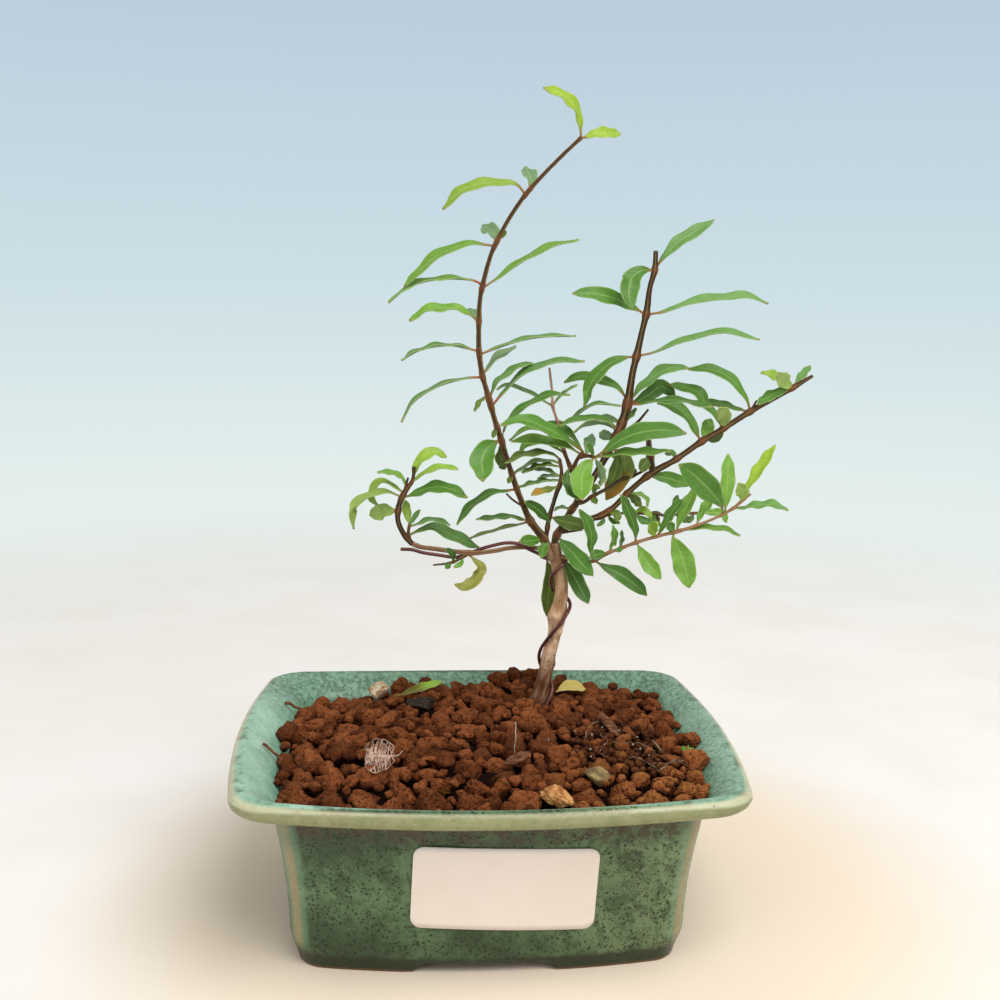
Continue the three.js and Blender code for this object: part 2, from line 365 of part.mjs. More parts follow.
// loose things on the soil: [x, y, half sizes, turn]
const STONES = [
  { name: 'pale_stone', at: [-32.8, 42.1], size: [3.4, 2.6, 3.0], turn: 0.4, lift: 3.4, colour: 0xb39c7c },
  { name: 'dark_stone', at: [-18.1, 21.8], size: [5.0, 3.0, 2.2], turn: -0.35, lift: 1.7, colour: 0x2c2d2b },
  { name: 'olive_pebble', at: [29.7, -37.6], size: [3.6, 3.0, 2.7], turn: 0.2, lift: 1.8, colour: 0x6f6a4a },
  { name: 'tan_granule', at: [17.2, -48.0], size: [4.9, 2.5, 2.3], turn: -0.75, lift: 1.8, colour: 0xa66a3c },
];
const CHIP_THICKNESS = 1.1;
const CHIPS = [
  { name: 'bark_chip_back', at: [39.0, -0.6], length: 11, width: 3.4, turn: -1.13, pitch: 0.39, lift: 2.6 },
  { name: 'bark_chip_front', at: [8.2, -27.9], length: 9.5, width: 4.6, turn: 0.55, pitch: -0.16, lift: 2.2 },
];
const DEAD_TWIGS = [
  { name: 'dead_twig_back', from: [-63.7, 29.6, 52.3], to: [-57.7, 28.4, 50.0], radius: 0.6 },
  { name: 'dead_twig_left', from: [-66.3, -9.6, 53.2], to: [-60.3, -13.4, 49.3], radius: 0.5 },
];
const FALLEN_LEAVES = [
  { name: 'fallen_leaf_green', width: 3.6, lean: 0.45, colour: 0x5f8f2a,
    path: [[-27.3, 32.0, 53.4], [-22.6, 34.8, 54.0], [-17.0, 38.6, 54.6], [-11.7, 42.3, 54.9]] },
  { name: 'fallen_leaf_yellow', width: 5.4, lean: 0.45, colour: 0xb3b35a,
    path: [[26.1, 31.0, 54.9], [29.6, 32.8, 55.7], [33.2, 34.4, 55.3], [36.6, 35.2, 54.3]] },
  { name: 'skeleton_leaf', width: 10.4, lean: 0.75, colour: 0x9a8f88,
    path: [[-36.6, -23.2, 53.9], [-33.4, -23.9, 54.5], [-29.6, -24.2, 54.6], [-25.9, -24.0, 54.4]] },
];
const MOSS_AT = [60.8, -13.6];
const MOSS_LEVELS = [[1.0, 0.7, -0.6], [2.7, 0.9, 2.1], [1.5, 0.5, 3.6]]; // [reach, waist, height]

// ---------------------------------------------------------------- solids and meshes

function seededRandom(seed) {
  let state = seed;
  return () => {
    state = (state * 1664525 + 1013904223) % 4294967296;
    return state / 4294967296;
  };
}

function toSolid(geometry) {
  const plain = geometry.clone();
  plain.deleteAttribute('normal');
  plain.deleteAttribute('uv');
  const merged = mergeVertices(plain, 1e-4);
  const vertProperties = new Float32Array(merged.attributes.position.array);
  const triVerts = new Uint32Array(merged.index.array);
  return new Manifold(new SolidMesh({ numProp: 3, vertProperties, triVerts }));
}

function toGeometry(solid) {
  const mesh = solid.getMesh();
  const geometry = new THREE.BufferGeometry();
  geometry.setAttribute('position', new THREE.BufferAttribute(mesh.vertProperties, mesh.numProp));
  geometry.setIndex(new THREE.BufferAttribute(mesh.triVerts, 1));
  const flat = geometry.toNonIndexed();
  flat.computeVertexNormals();
  return flat;
}

function biggestPiece(solid) {
  const pieces = solid.decompose();
  return pieces.reduce((best, piece) => (piece.volume() > best.volume() ? piece : best));
}

function joined(solids) {
  return solids.length === 1 ? solids[0] : Manifold.union(solids);
}

// a closed body through rings that all have the same number of points, with a fan over each end
function loft(rings) {
  const count = rings[0].length;
  const positions = rings.flat().flatMap((p) => [p.x, p.y, p.z]);
  const index = [];
  for (let r = 0; r + 1 < rings.length; r += 1) {
    for (let i = 0; i < count; i += 1) {
      const a = r * count + i;
      const b = r * count + ((i + 1) % count);
      index.push(a, b, b + count, a, b + count, a + count);
    }
  }
  const last = (rings.length - 1) * count;
  for (let i = 1; i + 1 < count; i += 1) {
    index.push(0, i + 1, i, last, last + i, last + i + 1);
  }
  const geometry = new THREE.BufferGeometry();
  geometry.setAttribute('position', new THREE.Float32BufferAttribute(positions, 3));
  geometry.setIndex(index);
  return geometry;
}

function paint(colour, roughness) {
  return new THREE.MeshStandardMaterial({ color: colour, roughness, metalness: 0 });
}

const group = new THREE.Group();

function addNode(name, solid, material) {
  const mesh = new THREE.Mesh(toGeometry(solid.simplify(SHORTEST_EDGE)), material);
  mesh.name = name;
  group.add(mesh);
}

// ---------------------------------------------------------------- pot

// one level of the pot: four bulged sides joined by rounded corners, seen from above, anticlockwise
function planRing(inset, height, corner) {
  const halfX = RIM_HALF_WIDTH - inset;
  const halfY = RIM_HALF_DEPTH - inset * DEPTH_INSET_SHARE;
  const bulgeX = (SHORT_SIDE_BULGE * halfX) / RIM_HALF_WIDTH;
  const cx = halfX - corner - bulgeX;
  const cy = halfY - corner - LONG_SIDE_BULGE;
  const corners = [[cx, -cy], [cx, cy], [-cx, cy], [-cx, -cy]];
  const sag = RIM_SAG * THREE.MathUtils.smoothstep(height, SAG_FROM, RIM_TOP - 2);
  const ring = [];
  const put = (x, y) => {
    const drop = sag * Math.max(0, 1 - (x / RIM_HALF_WIDTH) ** 2);
    ring.push(new THREE.Vector3(x, y, height - drop));
  };
  for (let side = 0; side < 4; side += 1) {
    const [x0, y0] = corners[side];
    const [x1, y1] = corners[(side + 1) % 4];
    const long = Math.hypot(x1 - x0, y1 - y0);
    const along = [(x1 - x0) / long, (y1 - y0) / long];
    const out = [along[1], -along[0]];
    const bulge = side % 2 === 0 ? bulgeX : LONG_SIDE_BULGE;
    const steps = SIDE_STEPS[side % 2];
    for (let step = 0; step <= steps; step += 1) {
      const s = step / steps;
      const slope = (bulge * 4 * (1 - 2 * s)) / long;
      const size = Math.hypot(1, slope);
      const push = bulge * 4 * s * (1 - s);
      const nx = (out[0] - along[0] * slope) / size;
      const ny = (out[1] - along[1] * slope) / size;
      put(x0 + (x1 - x0) * s + out[0] * push + nx * corner, y0 + (y1 - y0) * s + out[1] * push + ny * corner);
    }
    const endSlope = (-bulge * 4) / long;
    const from = Math.atan2(out[1] - along[1] * endSlope, out[0] - along[0] * endSlope);
    const nextBulge = side % 2 === 0 ? LONG_SIDE_BULGE : bulgeX;
    const nextLong = side % 2 === 0 ? 2 * cx : 2 * cy;
    const turn = Math.PI / 2 - Math.atan((bulge * 4) / long) - Math.atan((nextBulge * 4) / nextLong);
    for (let step = 1; step <= CORNER_STEPS; step += 1) {
      const angle = from + (turn * step) / (CORNER_STEPS + 1);
      put(x1 + corner * Math.cos(angle), y1 + corner * Math.sin(angle));
    }
  }
  return ring;
}

// how far forward the pot's front face stands at a place
function frontFace(x, height) {
  const upper = OUTER_PROFILE.findIndex(([, z]) => z >= height);
  const [low, high] = [OUTER_PROFILE[upper - 1], OUTER_PROFILE[upper]];
  const share = (height - low[1]) / (high[1] - low[1]);
  const ring = planRing(...low.map((number, k) => number + (high[k] - number) * share));
  const front = ring.filter((p) => p.y < 0).sort((p, q) => p.x - q.x);
  const i = front.findIndex((p) => p.x > x);
  return THREE.MathUtils.mapLinear(x, front[i - 1].x, front[i].x, front[i - 1].y, front[i].y);
}

function notch(halfFoot, halfTop, centre) {
  const shape = new THREE.Shape();
  shape.moveTo(centre - halfFoot - 1, -1);
  shape.lineTo(centre + halfFoot + 1, -1);
  shape.lineTo(centre + halfTop, NOTCH_HEIGHT);
  shape.lineTo(centre - halfTop, NOTCH_HEIGHT);
  const geometry = new THREE.ExtrudeGeometry(shape, { depth: 160, bevelEnabled: false });
  geometry.translate(0, 0, -80);
  geometry.rotateX(Math.PI / 2);
  return geometry;
}

function makePot() {
  const rings = [...OUTER_PROFILE, CREST, ...INNER_PROFILE].map((level) => planRing(...level));
  const sideNotch = notch(NOTCH_HALF_FOOT, NOTCH_HALF_TOP, 0);
  sideNotch.rotateZ(Math.PI / 2);
  const recess = loft([planRing(RECESS_INSET, -1, RECESS_CORNER), planRing(RECESS_INSET + 1, RECESS_HEIGHT, RECESS_CORNER)]);
  const cuts = [notch(NOTCH_HALF_FOOT, NOTCH_HALF_TOP, NOTCH_CENTRE_X), sideNotch, recess];
  for (const x of [-DRAIN_X, DRAIN_X]) {
    const hole = new THREE.CylinderGeometry(DRAIN_RADIUS, DRAIN_RADIUS, 3 * FLOOR_TOP, 16);
    hole.rotateX(Math.PI / 2);
    hole.translate(x, 0, FLOOR_TOP);
    cuts.push(hole);
  }
  return toSolid(loft(rings)).subtract(joined(cuts.map(toSolid)));
}

function makeDrainMesh(x) {
  const half = MESH_SIDE / 2;
  const plate = new THREE.BoxGeometry(MESH_SIDE, MESH_SIDE, MESH_THICKNESS);
  const holes = [];
  for (let i = -1; i <= 1; i += 1) {
    for (let j = -1; j <= 1; j += 1) {
      const hole = new THREE.BoxGeometry(MESH_HOLE, MESH_HOLE, half);
      hole.translate(i * MESH_PITCH, j * MESH_PITCH, 0);
      holes.push(toSolid(hole));
    }
  }
  return toSolid(plate).subtract(joined(holes)).translate([x, 0, FLOOR_TOP + GAP + MESH_THICKNESS / 2]);
}

function meshPocket(x) {
  const side = MESH_SIDE + 2 * GAP;
  const pocket = new THREE.BoxGeometry(side, side, 2 * (MESH_THICKNESS + 2 * GAP));
  pocket.translate(x, 0, FLOOR_TOP);
  return toSolid(pocket);
}

// a thin card with round corners, bent onto the pot's curved front
function makeLabel() {
  const halfWidth = LABEL_WIDTH / 2;
  const straight = halfWidth - LABEL_CORNER;
  const cornerSteps = [1, 0.92, 0.6, 0].map((share) => straight + LABEL_CORNER * share);
  const columns = [
    ...cornerSteps.map((x) => -x), ...LABEL_BENDS, ...cornerSteps.reverse(),
  ];
  const rings = columns.map((across) => {
    const past = Math.max(0, Math.abs(across) - straight);
    const half = LABEL_HEIGHT / 2 - LABEL_CORNER + Math.sqrt(LABEL_CORNER ** 2 - past ** 2);
    const place = (up, out) => {
      const x = LABEL_CENTRE_X + across + LABEL_TURN * up;
      const z = LABEL_CENTRE_Z + up - LABEL_TURN * across;
      return new THREE.Vector3(x, frontFace(x, z) - GAP - out, z);
    };
    const front = [half, 0, -half].map((up) => place(up, LABEL_THICKNESS));
    return [...front, ...[-half, 0, half].map((up) => place(up, 0))];
  });
  return toSolid(blades(rings));
}

// ---------------------------------------------------------------- wood, leaves and wire

function seen(x, z, depth) {
  const reach = (PLANE_Y + depth - SIGHT.y) / (PLANE_Y - SIGHT.y);
  return new THREE.Vector3(SIGHT.x + (x - SIGHT.x) * reach, PLANE_Y + depth, SIGHT.z + (z - SIGHT.z) * reach);
}

// a tapering limb through its layout points, grown all round by some clearance
function limb(path, sides, grow = 0) {
  const centres = path.map(([x, z, depth]) => seen(x, z, depth));
  const tangents = centres.map((p, i) => {
    const before = centres[Math.max(0, i - 1)];
    const after = centres[Math.min(centres.length - 1, i + 1)];
    return after.clone().sub(before).normalize();
  });
  let side = new THREE.Vector3(0, -1, 0).cross(tangents[0]).normalize();
  const rings = centres.map((centre, i) => {
    side = side.clone().addScaledVector(tangents[i], -side.dot(tangents[i])).normalize();
    const other = tangents[i].clone().cross(side);
    const radius = path[i][3] + grow;
    const end = i === 0 ? -grow : i === path.length - 1 ? grow : 0;
    const middle = centre.clone().addScaledVector(tangents[i], end);
    return Array.from({ length: sides }, (_, k) => {
      const angle = (2 * Math.PI * k) / sides;
      return middle.clone()
        .addScaledVector(side, radius * Math.cos(angle))
        .addScaledVector(other, radius * Math.sin(angle));
    });
  });
  return toSolid(loft(rings));
}

// the point on the stem's wood that shows nearest to where a leaf springs
function rootOn(wood, x, z) {
  let best = null;
  for (const path of wood) {
    for (let i = 0; i + 1 < path.length; i += 1) {
      const [x0, z0, d0] = path[i];
      const [x1, z1, d1] = path[i + 1];
      const dx = x1 - x0;
      const dz = z1 - z0;
      const s = THREE.MathUtils.clamp(((x - x0) * dx + (z - z0) * dz) / (dx * dx + dz * dz), 0, 1);
      const away = Math.hypot(x - x0 - dx * s, z - z0 - dz * s);
      if (!best || away < best.away) {
        best = { away, x: x0 + dx * s, z: z0 + dz * s, depth: d0 + (d1 - d0) * s };
      }
    }
  }
  return best;
}

function bladeHalfWidth(width, t) {
  const along = Math.max(0, (t - 0.08) / 0.92);
  return Math.max(PETIOLE_HALF, (width / 2) * Math.sin(Math.PI * Math.min(1, along ** 1.12 * 0.93)) ** 0.72);
}

// a folded, waved blade along a line; both faces are split alike
function blade(line, width, faceAt, grow = 0) {
  const length = line.getLength();
  const steps = THREE.MathUtils.clamp(Math.round(length / LEAF_STEP), 3, 5);
  const folded = width >= FOLDED_WIDTH;
  const rings = [];
  for (let i = 0; i <= steps; i += 1) {
    const t = i === 0 ? 0 : 0.1 + (0.9 * (i - 1)) / (steps - 1);
    const tangent = line.getTangentAt(t);
    const end = i === 0 ? -grow : i === steps ? grow : 0;
    const centre = line.getPointAt(t).addScaledVector(tangent, end);
    const face = faceAt(centre, tangent);
    const side = tangent.clone().cross(face);
    const half = bladeHalfWidth(width, t) + grow;
    const wave = i > 0 && i < steps ? LEAF_WAVE * (i % 2 === 0 ? 1 : -1) * Math.min(1, width / 4) : 0;
    const thick = LEAF_THICKNESS / 2 + grow;
    const point = (across, lift) => centre.clone().addScaledVector(side, across).addScaledVector(face, lift);
    const rise = folded ? LEAF_FOLD * half : 0;
    const section = folded
      ? [[-half, rise + wave], [0, 0], [half, rise - wave]]
      : [[-half, wave], [half, -wave]];
    rings.push([
      ...section.map(([across, lift]) => point(across, lift + thick)),
      ...section.reverse().map(([across, lift]) => point(across, lift - thick)),
    ]);
  }
  return toSolid(blades(rings));
}

// the closed skin of a blade: each ring runs across the upper face and back across the under face
function blades(rings) {
  const count = rings[0].length;
  const across = count / 2;
  const index = [];
  for (let r = 0; r + 1 < rings.length; r += 1) {
    for (let j = 0; j < count; j += 1) {
      const k = (j + 1) % count;
      const [a, b] = [count * r, count * (r + 1)];
      const under = j >= across && j + 1 < count;
      if (under) index.push(a + j, a + k, b + j, a + k, b + k, b + j);
      else index.push(a + j, a + k, b + k, a + j, b + k, b + j);
    }
  }
  const last = count * (rings.length - 1);
  for (let i = 0; i + 1 < across; i += 1) {
    for (const [j, k] of [[i + 1, count - 2 - i], [count - 2 - i, count - 1 - i]]) {
      index.push(i, k, j, last + i, last + j, last + k);
    }
  }
  const geometry = new THREE.BufferGeometry();
  const positions = rings.flat().flatMap((p) => [p.x, p.y, p.z]);
  geometry.setAttribute('position', new THREE.Float32BufferAttribute(positions, 3));
  geometry.setIndex(index);
  return geometry;
}

// the upper face of a blade, turned from facing SIGHT towards facing up
function turnedFace(turn) {
  return (centre, tangent) => {
    const toSight = SIGHT.clone().sub(centre);
    const facing = toSight.addScaledVector(tangent, -toSight.dot(tangent)).normalize();
    const across = tangent.clone().cross(facing);
    const upward = across.z + 0.3 * across.x < 0 ? across.negate() : across;
    const angle = THREE.MathUtils.degToRad(turn);
    return facing.multiplyScalar(Math.cos(angle)).addScaledVector(upward, Math.sin(angle));
  };
}

function leafOn(wood, [tipDepth, width, turn, ...flat], grow = 0) {
  const root = rootOn(wood, flat[0], flat[1]);
  const spots = [[root.x, root.z]];
  for (let i = 2; i < flat.length; i += 2) spots.push([flat[i], flat[i + 1]]);
  const runs = [0];
  for (let i = 1; i < spots.length; i += 1) {
    runs.push(runs[i - 1] + Math.hypot(spots[i][0] - spots[i - 1][0], spots[i][1] - spots[i - 1][1]));
  }
  const total = runs[runs.length - 1];
  const points = spots.map(([x, z], i) => seen(x, z, root.depth + tipDepth * (runs[i] / total) ** 1.15));
  return blade(new THREE.CatmullRomCurve3(points, false, 'centripetal'), width, turnedFace(turn), grow);
}

function woodOf(paths, sides, grow) {
  return joined(paths.map((path) => limb(path, path[0][3] > TWIG_FROM_RADIUS ? sides : TWIG_SIDES, grow)));
}

function leafyStem(stem, keepClearOf) {
  const parts = [woodOf(stem.wood, WOOD_SIDES), ...stem.leaves.map((leaf) => leafOn(stem.wood, leaf))];
  return biggestPiece(joined(parts).subtract(joined(keepClearOf)));
}

// a place beside a limb: radius and centre are read off its layout at the share where key crosses value
function besideLimb(path, key, value, angle, up) {
  let i = 0;
  const rising = path[path.length - 1][key] > path[0][key];
  while (i + 2 < path.length && (rising ? path[i + 1][key] < value : path[i + 1][key] > value)) i += 1;
  const s = (value - path[i][key]) / (path[i + 1][key] - path[i][key]);
  const at = path[i].map((number, k) => number + (path[i + 1][k] - number) * s);
  const reach = at[3] + GAP + WIRE_RADIUS + WIRE_SLACK;
  const turn = THREE.MathUtils.degToRad(angle);
  const centre = seen(at[0], at[1], at[2]);
  return centre.add(up.clone().multiplyScalar(reach * Math.cos(turn)))
    .add(new THREE.Vector3(0, 1, 0).multiplyScalar(reach * Math.sin(turn)));
}

function wireLine(sunk) {
  const right = new THREE.Vector3(1, 0, 0);
  const above = new THREE.Vector3(0, 0, 1);
  return new THREE.CatmullRomCurve3([
    besideLimb(TRUNK[0], 1, WIRE_FOOT[0] - sunk, WIRE_FOOT[1], right),
    ...WIRE_ROUND_TRUNK.map(([z, angle]) => besideLimb(TRUNK[0], 1, z, angle, right)),
    ...WIRE_FREE.map((spot) => seen(...spot)),
    ...WIRE_ROUND_BRANCH.map(([x, angle]) => besideLimb(LEFT_BRANCH.wood[0], 0, x, angle, above)),
    seen(...WIRE_END),
  ], false, 'centripetal');
}

function makeWire(grow) {
  const section = new THREE.Shape();
  section.absarc(0, 0, WIRE_RADIUS + grow, 0, 2 * Math.PI);
  const geometry = new THREE.ExtrudeGeometry(section, {
    steps: WIRE_STEPS, curveSegments: WIRE_SIDES / 2, bevelEnabled: false, extrudePath: wireLine(grow),
  });
  return toSolid(geometry);
}

// ---------------------------------------------------------------- soil and what lies on it

function soilHeight(x, y) {
  const acrossX = Math.max(0, 1 - (Math.abs(x) / SOIL_HALF_X) ** 2.5);
  const acrossY = Math.max(0, 1 - (Math.abs(y) / SOIL_HALF_Y) ** 3);
  const fall = BACK_FALL.drop * THREE.MathUtils.smoothstep(y, BACK_FALL.from, BACK_FALL.to);
  const level = SOIL_EDGE + SOIL_RISE * acrossX * acrossY + (SOIL_TILT * x) / SOIL_HALF_X - fall;
  return MOUNDS.reduce((height, mound) => (
    height + mound.rise * Math.exp(-((x - mound.x) ** 2 + (y - mound.y) ** 2) / mound.radius ** 2)
  ), level);
}

// a slab whose top is coarse angular grains: six low corners and a raised three-sided top for each
function grainSlab() {
  const random = seededRandom(11);
  const positions = [];
  const index = [];
  const corners = new Map();
  const edges = new Map();
  const rowPitch = (GRAIN_PITCH * Math.sqrt(3)) / 2;
  const add = (x, y, z) => positions.push(x, y, z) / 3 - 1;
  const cornerAt = (x, y) => {
    const key = `${Math.round(x * 10)},${Math.round(y * 10)}`;
    if (!corners.has(key)) {
      const jx = x + (random() - 0.5) * GRAIN_PITCH * GRAIN_SCATTER;
      const jy = y + (random() - 0.5) * GRAIN_PITCH * GRAIN_SCATTER;
      const top = add(jx, jy, soilHeight(jx, jy) - GRAIN_VALLEY * (0.6 + 0.4 * random()));
      corners.set(key, { top, bottom: add(jx, jy, 0) });
    }
    return corners.get(key);
  };
  const rows = Math.ceil((RIM_HALF_DEPTH - 6) / rowPitch);
  const columns = Math.ceil((RIM_HALF_WIDTH - 4) / GRAIN_PITCH);
  for (let row = -rows; row <= rows; row += 1) {
    for (let column = -columns; column <= columns; column += 1) {
      const x = (column + (row % 2 === 0 ? 0 : 0.5)) * GRAIN_PITCH;
      const y = row * rowPitch;
      const reach = GRAIN_PITCH / Math.sqrt(3);
      const ring = Array.from({ length: 6 }, (_, k) => {
        const angle = Math.PI / 6 + (k * Math.PI) / 3;
        return cornerAt(x + reach * Math.cos(angle), y + reach * Math.sin(angle));
      });
      const rise = GRAIN_RISE * (0.55 + 0.9 * random());
      const start = Math.floor(random() * 2);
      const tops = [0, 1, 2].map((k) => {
        const angle = Math.PI / 6 + ((2 * k + start + 0.5) * Math.PI) / 3;
        const tx = x + reach * GRAIN_TOP_SHARE * Math.cos(angle);
        const ty = y + reach * GRAIN_TOP_SHARE * Math.sin(angle);
        return add(tx, ty, soilHeight(x, y) + rise + (random() - 0.5) * 1.3);
      });
      for (let k = 0; k < 3; k += 1) {
        const a = ring[(2 * k + start) % 6].top;
        const b = ring[(2 * k + start + 1) % 6].top;
        const c = ring[(2 * k + start + 2) % 6].top;
        index.push(a, b, tops[k], b, c, tops[k], c, tops[(k + 1) % 3], tops[k]);
      }
      index.push(...tops);
      for (let k = 0; k < 6; k += 1) {
        const a = ring[k];
        const b = ring[(k + 1) % 6];
        if (edges.has(`${b.top},${a.top}`)) edges.delete(`${b.top},${a.top}`);
        else edges.set(`${a.top},${b.top}`, [a, b]);
        if (k > 0 && k < 5) index.push(ring[0].bottom, ring[k + 1].bottom, ring[k].bottom);
      }
    }
  }
  for (const [a, b] of edges.values()) {
    index.push(b.top, a.top, a.bottom, b.top, a.bottom, b.bottom);
  }
  const geometry = new THREE.BufferGeometry();
  geometry.setAttribute('position', new THREE.Float32BufferAttribute(positions, 3));
  geometry.setIndex(index);
  return toSolid(geometry);
}

// the room inside the pot, a clearance inside its wall
function potRoom() {
  const levels = INNER_PROFILE.map(([inset, z, corner]) => {
    const low = z < FLOOR_TOP + 3;
    return [inset + (low ? GAP : WALL_GAP), low ? z + GAP : z, corner];
  }).reverse();
  const [inset, , corner] = levels[levels.length - 2];
  const inside = [...levels.slice(0, -1), [inset, RIM_TOP + 20, corner]];
  return toSolid(loft(inside.map((level) => planRing(...level))));
}

function stone({ at, size, turn, lift }, grow) {
  const geometry = new THREE.IcosahedronGeometry(1, 1);
  const position = geometry.attributes.position;
  for (let i = 0; i < position.count; i += 1) {
    const p = new THREE.Vector3().fromBufferAttribute(position, i);
    const lump = 1 + 0.09 * Math.sin(3 * p.x + 2 * p.y + size[0]) + 0.07 * Math.sin(4 * p.z - p.x);
    const [x, y, z] = size.map((reach) => lump * (reach + grow));
    position.setXYZ(i, p.x * x, p.y * y, p.z * z);
  }
  geometry.rotateZ(turn);
  geometry.translate(at[0], at[1], soilHeight(...at) + lift);
  return toSolid(geometry);
}

function chip({ at, length, width, turn, pitch, lift }, grow) {
  const shape = new THREE.Shape();
  const half = length / 2 + grow;
  const wide = width / 2 + grow;
  shape.moveTo(-half, 0);
  shape.lineTo(-half * 0.5, -wide);
  shape.lineTo(half * 0.7, -wide * 0.8);
  shape.lineTo(half, wide * 0.2);
  shape.lineTo(half * 0.3, wide);
  shape.lineTo(-half * 0.6, wide * 0.7);
  const thick = CHIP_THICKNESS + 2 * grow;
  const geometry = new THREE.ExtrudeGeometry(shape, { depth: thick, bevelEnabled: false });
  geometry.translate(0, 0, -thick / 2);
  geometry.rotateY(pitch);
  geometry.rotateZ(turn);
  geometry.translate(at[0], at[1], soilHeight(...at) + lift);
  return toSolid(geometry);
}

function deadTwig({ from, to, radius }, grow) {
  const a = new THREE.Vector3(...from);
  const b = new THREE.Vector3(...to);
  const length = a.distanceTo(b) + 2 * grow;
  const geometry = new THREE.CylinderGeometry(radius * 0.6 + grow, radius + grow, length, 6);
  geometry.applyQuaternion(new THREE.Quaternion().setFromUnitVectors(
    new THREE.Vector3(0, 1, 0), a.clone().sub(b).normalize(),
  ));
  geometry.translate(...a.add(b).multiplyScalar(0.5));
  return toSolid(geometry);
}

function fallenLeaf({ path, width, lean }, grow) {
  const line = new THREE.CatmullRomCurve3(path.map((p) => new THREE.Vector3(...p)), false, 'centripetal');
  const upright = (centre, tangent) => {
    const up = new THREE.Vector3(0, -lean, 1);
    return up.addScaledVector(tangent, -up.dot(tangent)).normalize();
  };
  return blade(line, width, upright, grow);
}

// a low three-pointed tuft springing from the grains
function mossSprig(grow) {
  const [x, y] = MOSS_AT;
  const foot = soilHeight(x, y);
  return toSolid(loft(MOSS_LEVELS.map(([reach, waist, up]) => Array.from({ length: 6 }, (_, k) => {
    const out = (k % 2 === 0 ? reach : waist) + 2 * grow;
    const angle = (Math.PI * k) / 3 + 0.4;
    const end = up > 0 ? grow : -grow;
    return new THREE.Vector3(x + out * Math.cos(angle), y + out * Math.sin(angle), foot + up + end);
  }))));
}

// ---------------------------------------------------------------- assembly

const GLAZE = paint(0x6a8a6c, 0.3);
const BARK = paint(0xa98a68, 0.85);
const LEAF = paint(0x4f8a30, 0.45);
const DRY = paint(0x6b4a34, 0.9);

addNode('pot', makePot(), GLAZE);
addNode('label', makeLabel(), paint(0xe9ddd6, 0.6));
addNode('drain_mesh_left', makeDrainMesh(-DRAIN_X), paint(0x1f2a24, 0.6));
addNode('drain_mesh_right', makeDrainMesh(DRAIN_X), paint(0x1f2a24, 0.6));

const trunkRoom = woodOf(TRUNK, TRUNK_SIDES, GAP);
const wireRoom = makeWire(GAP);
addNode('trunk', woodOf(TRUNK, TRUNK_SIDES, 0), BARK);
addNode('training_wire', makeWire(0), paint(0x4a2a26, 0.4));

const STEMS = [
  ['left_branch', LEFT_BRANCH], ['tall_shoot', TALL_SHOOT], ['crown_spray', CROWN_SPRAY],
  ['inner_shoot', INNER_SHOOT], ['right_branch', RIGHT_BRANCH], ['upright_shoot', UPRIGHT_SHOOT],
  ['lower_twig', LOWER_TWIG],
];
const taken = [trunkRoom, wireRoom];
for (const [name, stem] of STEMS) {
  addNode(name, leafyStem(stem, taken), LEAF);
  taken.push(woodOf(stem.wood, WOOD_SIDES, GAP));
}

const pockets = [trunkRoom, wireRoom, meshPocket(-DRAIN_X), meshPocket(DRAIN_X)];
for (const item of STONES) {
  addNode(item.name, stone(item, 0), paint(item.colour, 0.9));
  pockets.push(stone(item, GAP));
}
for (const item of CHIPS) {
  addNode(item.name, chip(item, 0), DRY);
  pockets.push(chip(item, GAP));
}
for (const item of DEAD_TWIGS) {
  addNode(item.name, deadTwig(item, 0), DRY);
  pockets.push(deadTwig(item, GAP));
}
for (const item of FALLEN_LEAVES) {
  addNode(item.name, fallenLeaf(item, 0), paint(item.colour, 0.7));
  pockets.push(fallenLeaf(item, GAP));
}
addNode('moss_sprig', mossSprig(0), paint(0x5f9a2a, 0.8));
pockets.push(mossSprig(GAP));
const soil = potRoom().intersect(grainSlab()).subtract(joined(pockets));
addNode('soil', biggestPiece(soil), paint(0x6e3a22, 0.95));

// the middle of the object's footprint on the surface is its origin
const box = new THREE.Box3().setFromObject(group);
group.position.set(-(box.min.x + box.max.x) / 2, -(box.min.y + box.max.y) / 2, -box.min.z);

export default group;
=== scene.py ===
# %% [markdown]
# A young pomegranate bonsai in its glazed pot.
# The real thing is a bare trunk not quite as thick as a pencil, a few long shoots with narrow glossy leaves, one of
# them wired, coarse fired-clay granules round its foot and a sea-green pot with a wide lip. The solids of the part
# give the places and the main shapes. This script dresses them: every solid gets a finer piece in its place.
# It all happens in one frame, so the first thing to do is to open it and to note where the pot stands.

# %% Open the frame
import math

import bmesh
import bpy
import numpy as np
from mathutils import Matrix, Vector, noise


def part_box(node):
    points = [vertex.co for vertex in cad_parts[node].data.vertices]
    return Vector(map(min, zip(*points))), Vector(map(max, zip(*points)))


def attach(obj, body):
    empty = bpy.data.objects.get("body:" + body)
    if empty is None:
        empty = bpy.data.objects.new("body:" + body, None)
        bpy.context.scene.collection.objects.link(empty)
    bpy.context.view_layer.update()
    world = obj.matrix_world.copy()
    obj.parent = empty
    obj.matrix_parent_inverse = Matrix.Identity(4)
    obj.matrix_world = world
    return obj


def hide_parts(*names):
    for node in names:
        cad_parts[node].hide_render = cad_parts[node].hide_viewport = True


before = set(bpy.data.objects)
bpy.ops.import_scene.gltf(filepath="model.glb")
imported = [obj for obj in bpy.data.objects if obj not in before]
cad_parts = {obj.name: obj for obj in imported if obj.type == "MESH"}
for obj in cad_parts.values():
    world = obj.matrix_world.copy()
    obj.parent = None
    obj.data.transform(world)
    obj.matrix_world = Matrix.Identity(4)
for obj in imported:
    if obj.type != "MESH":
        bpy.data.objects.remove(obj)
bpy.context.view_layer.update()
pot_low, pot_high = (Vector(corner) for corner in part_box("pot"))
MM = 0.001
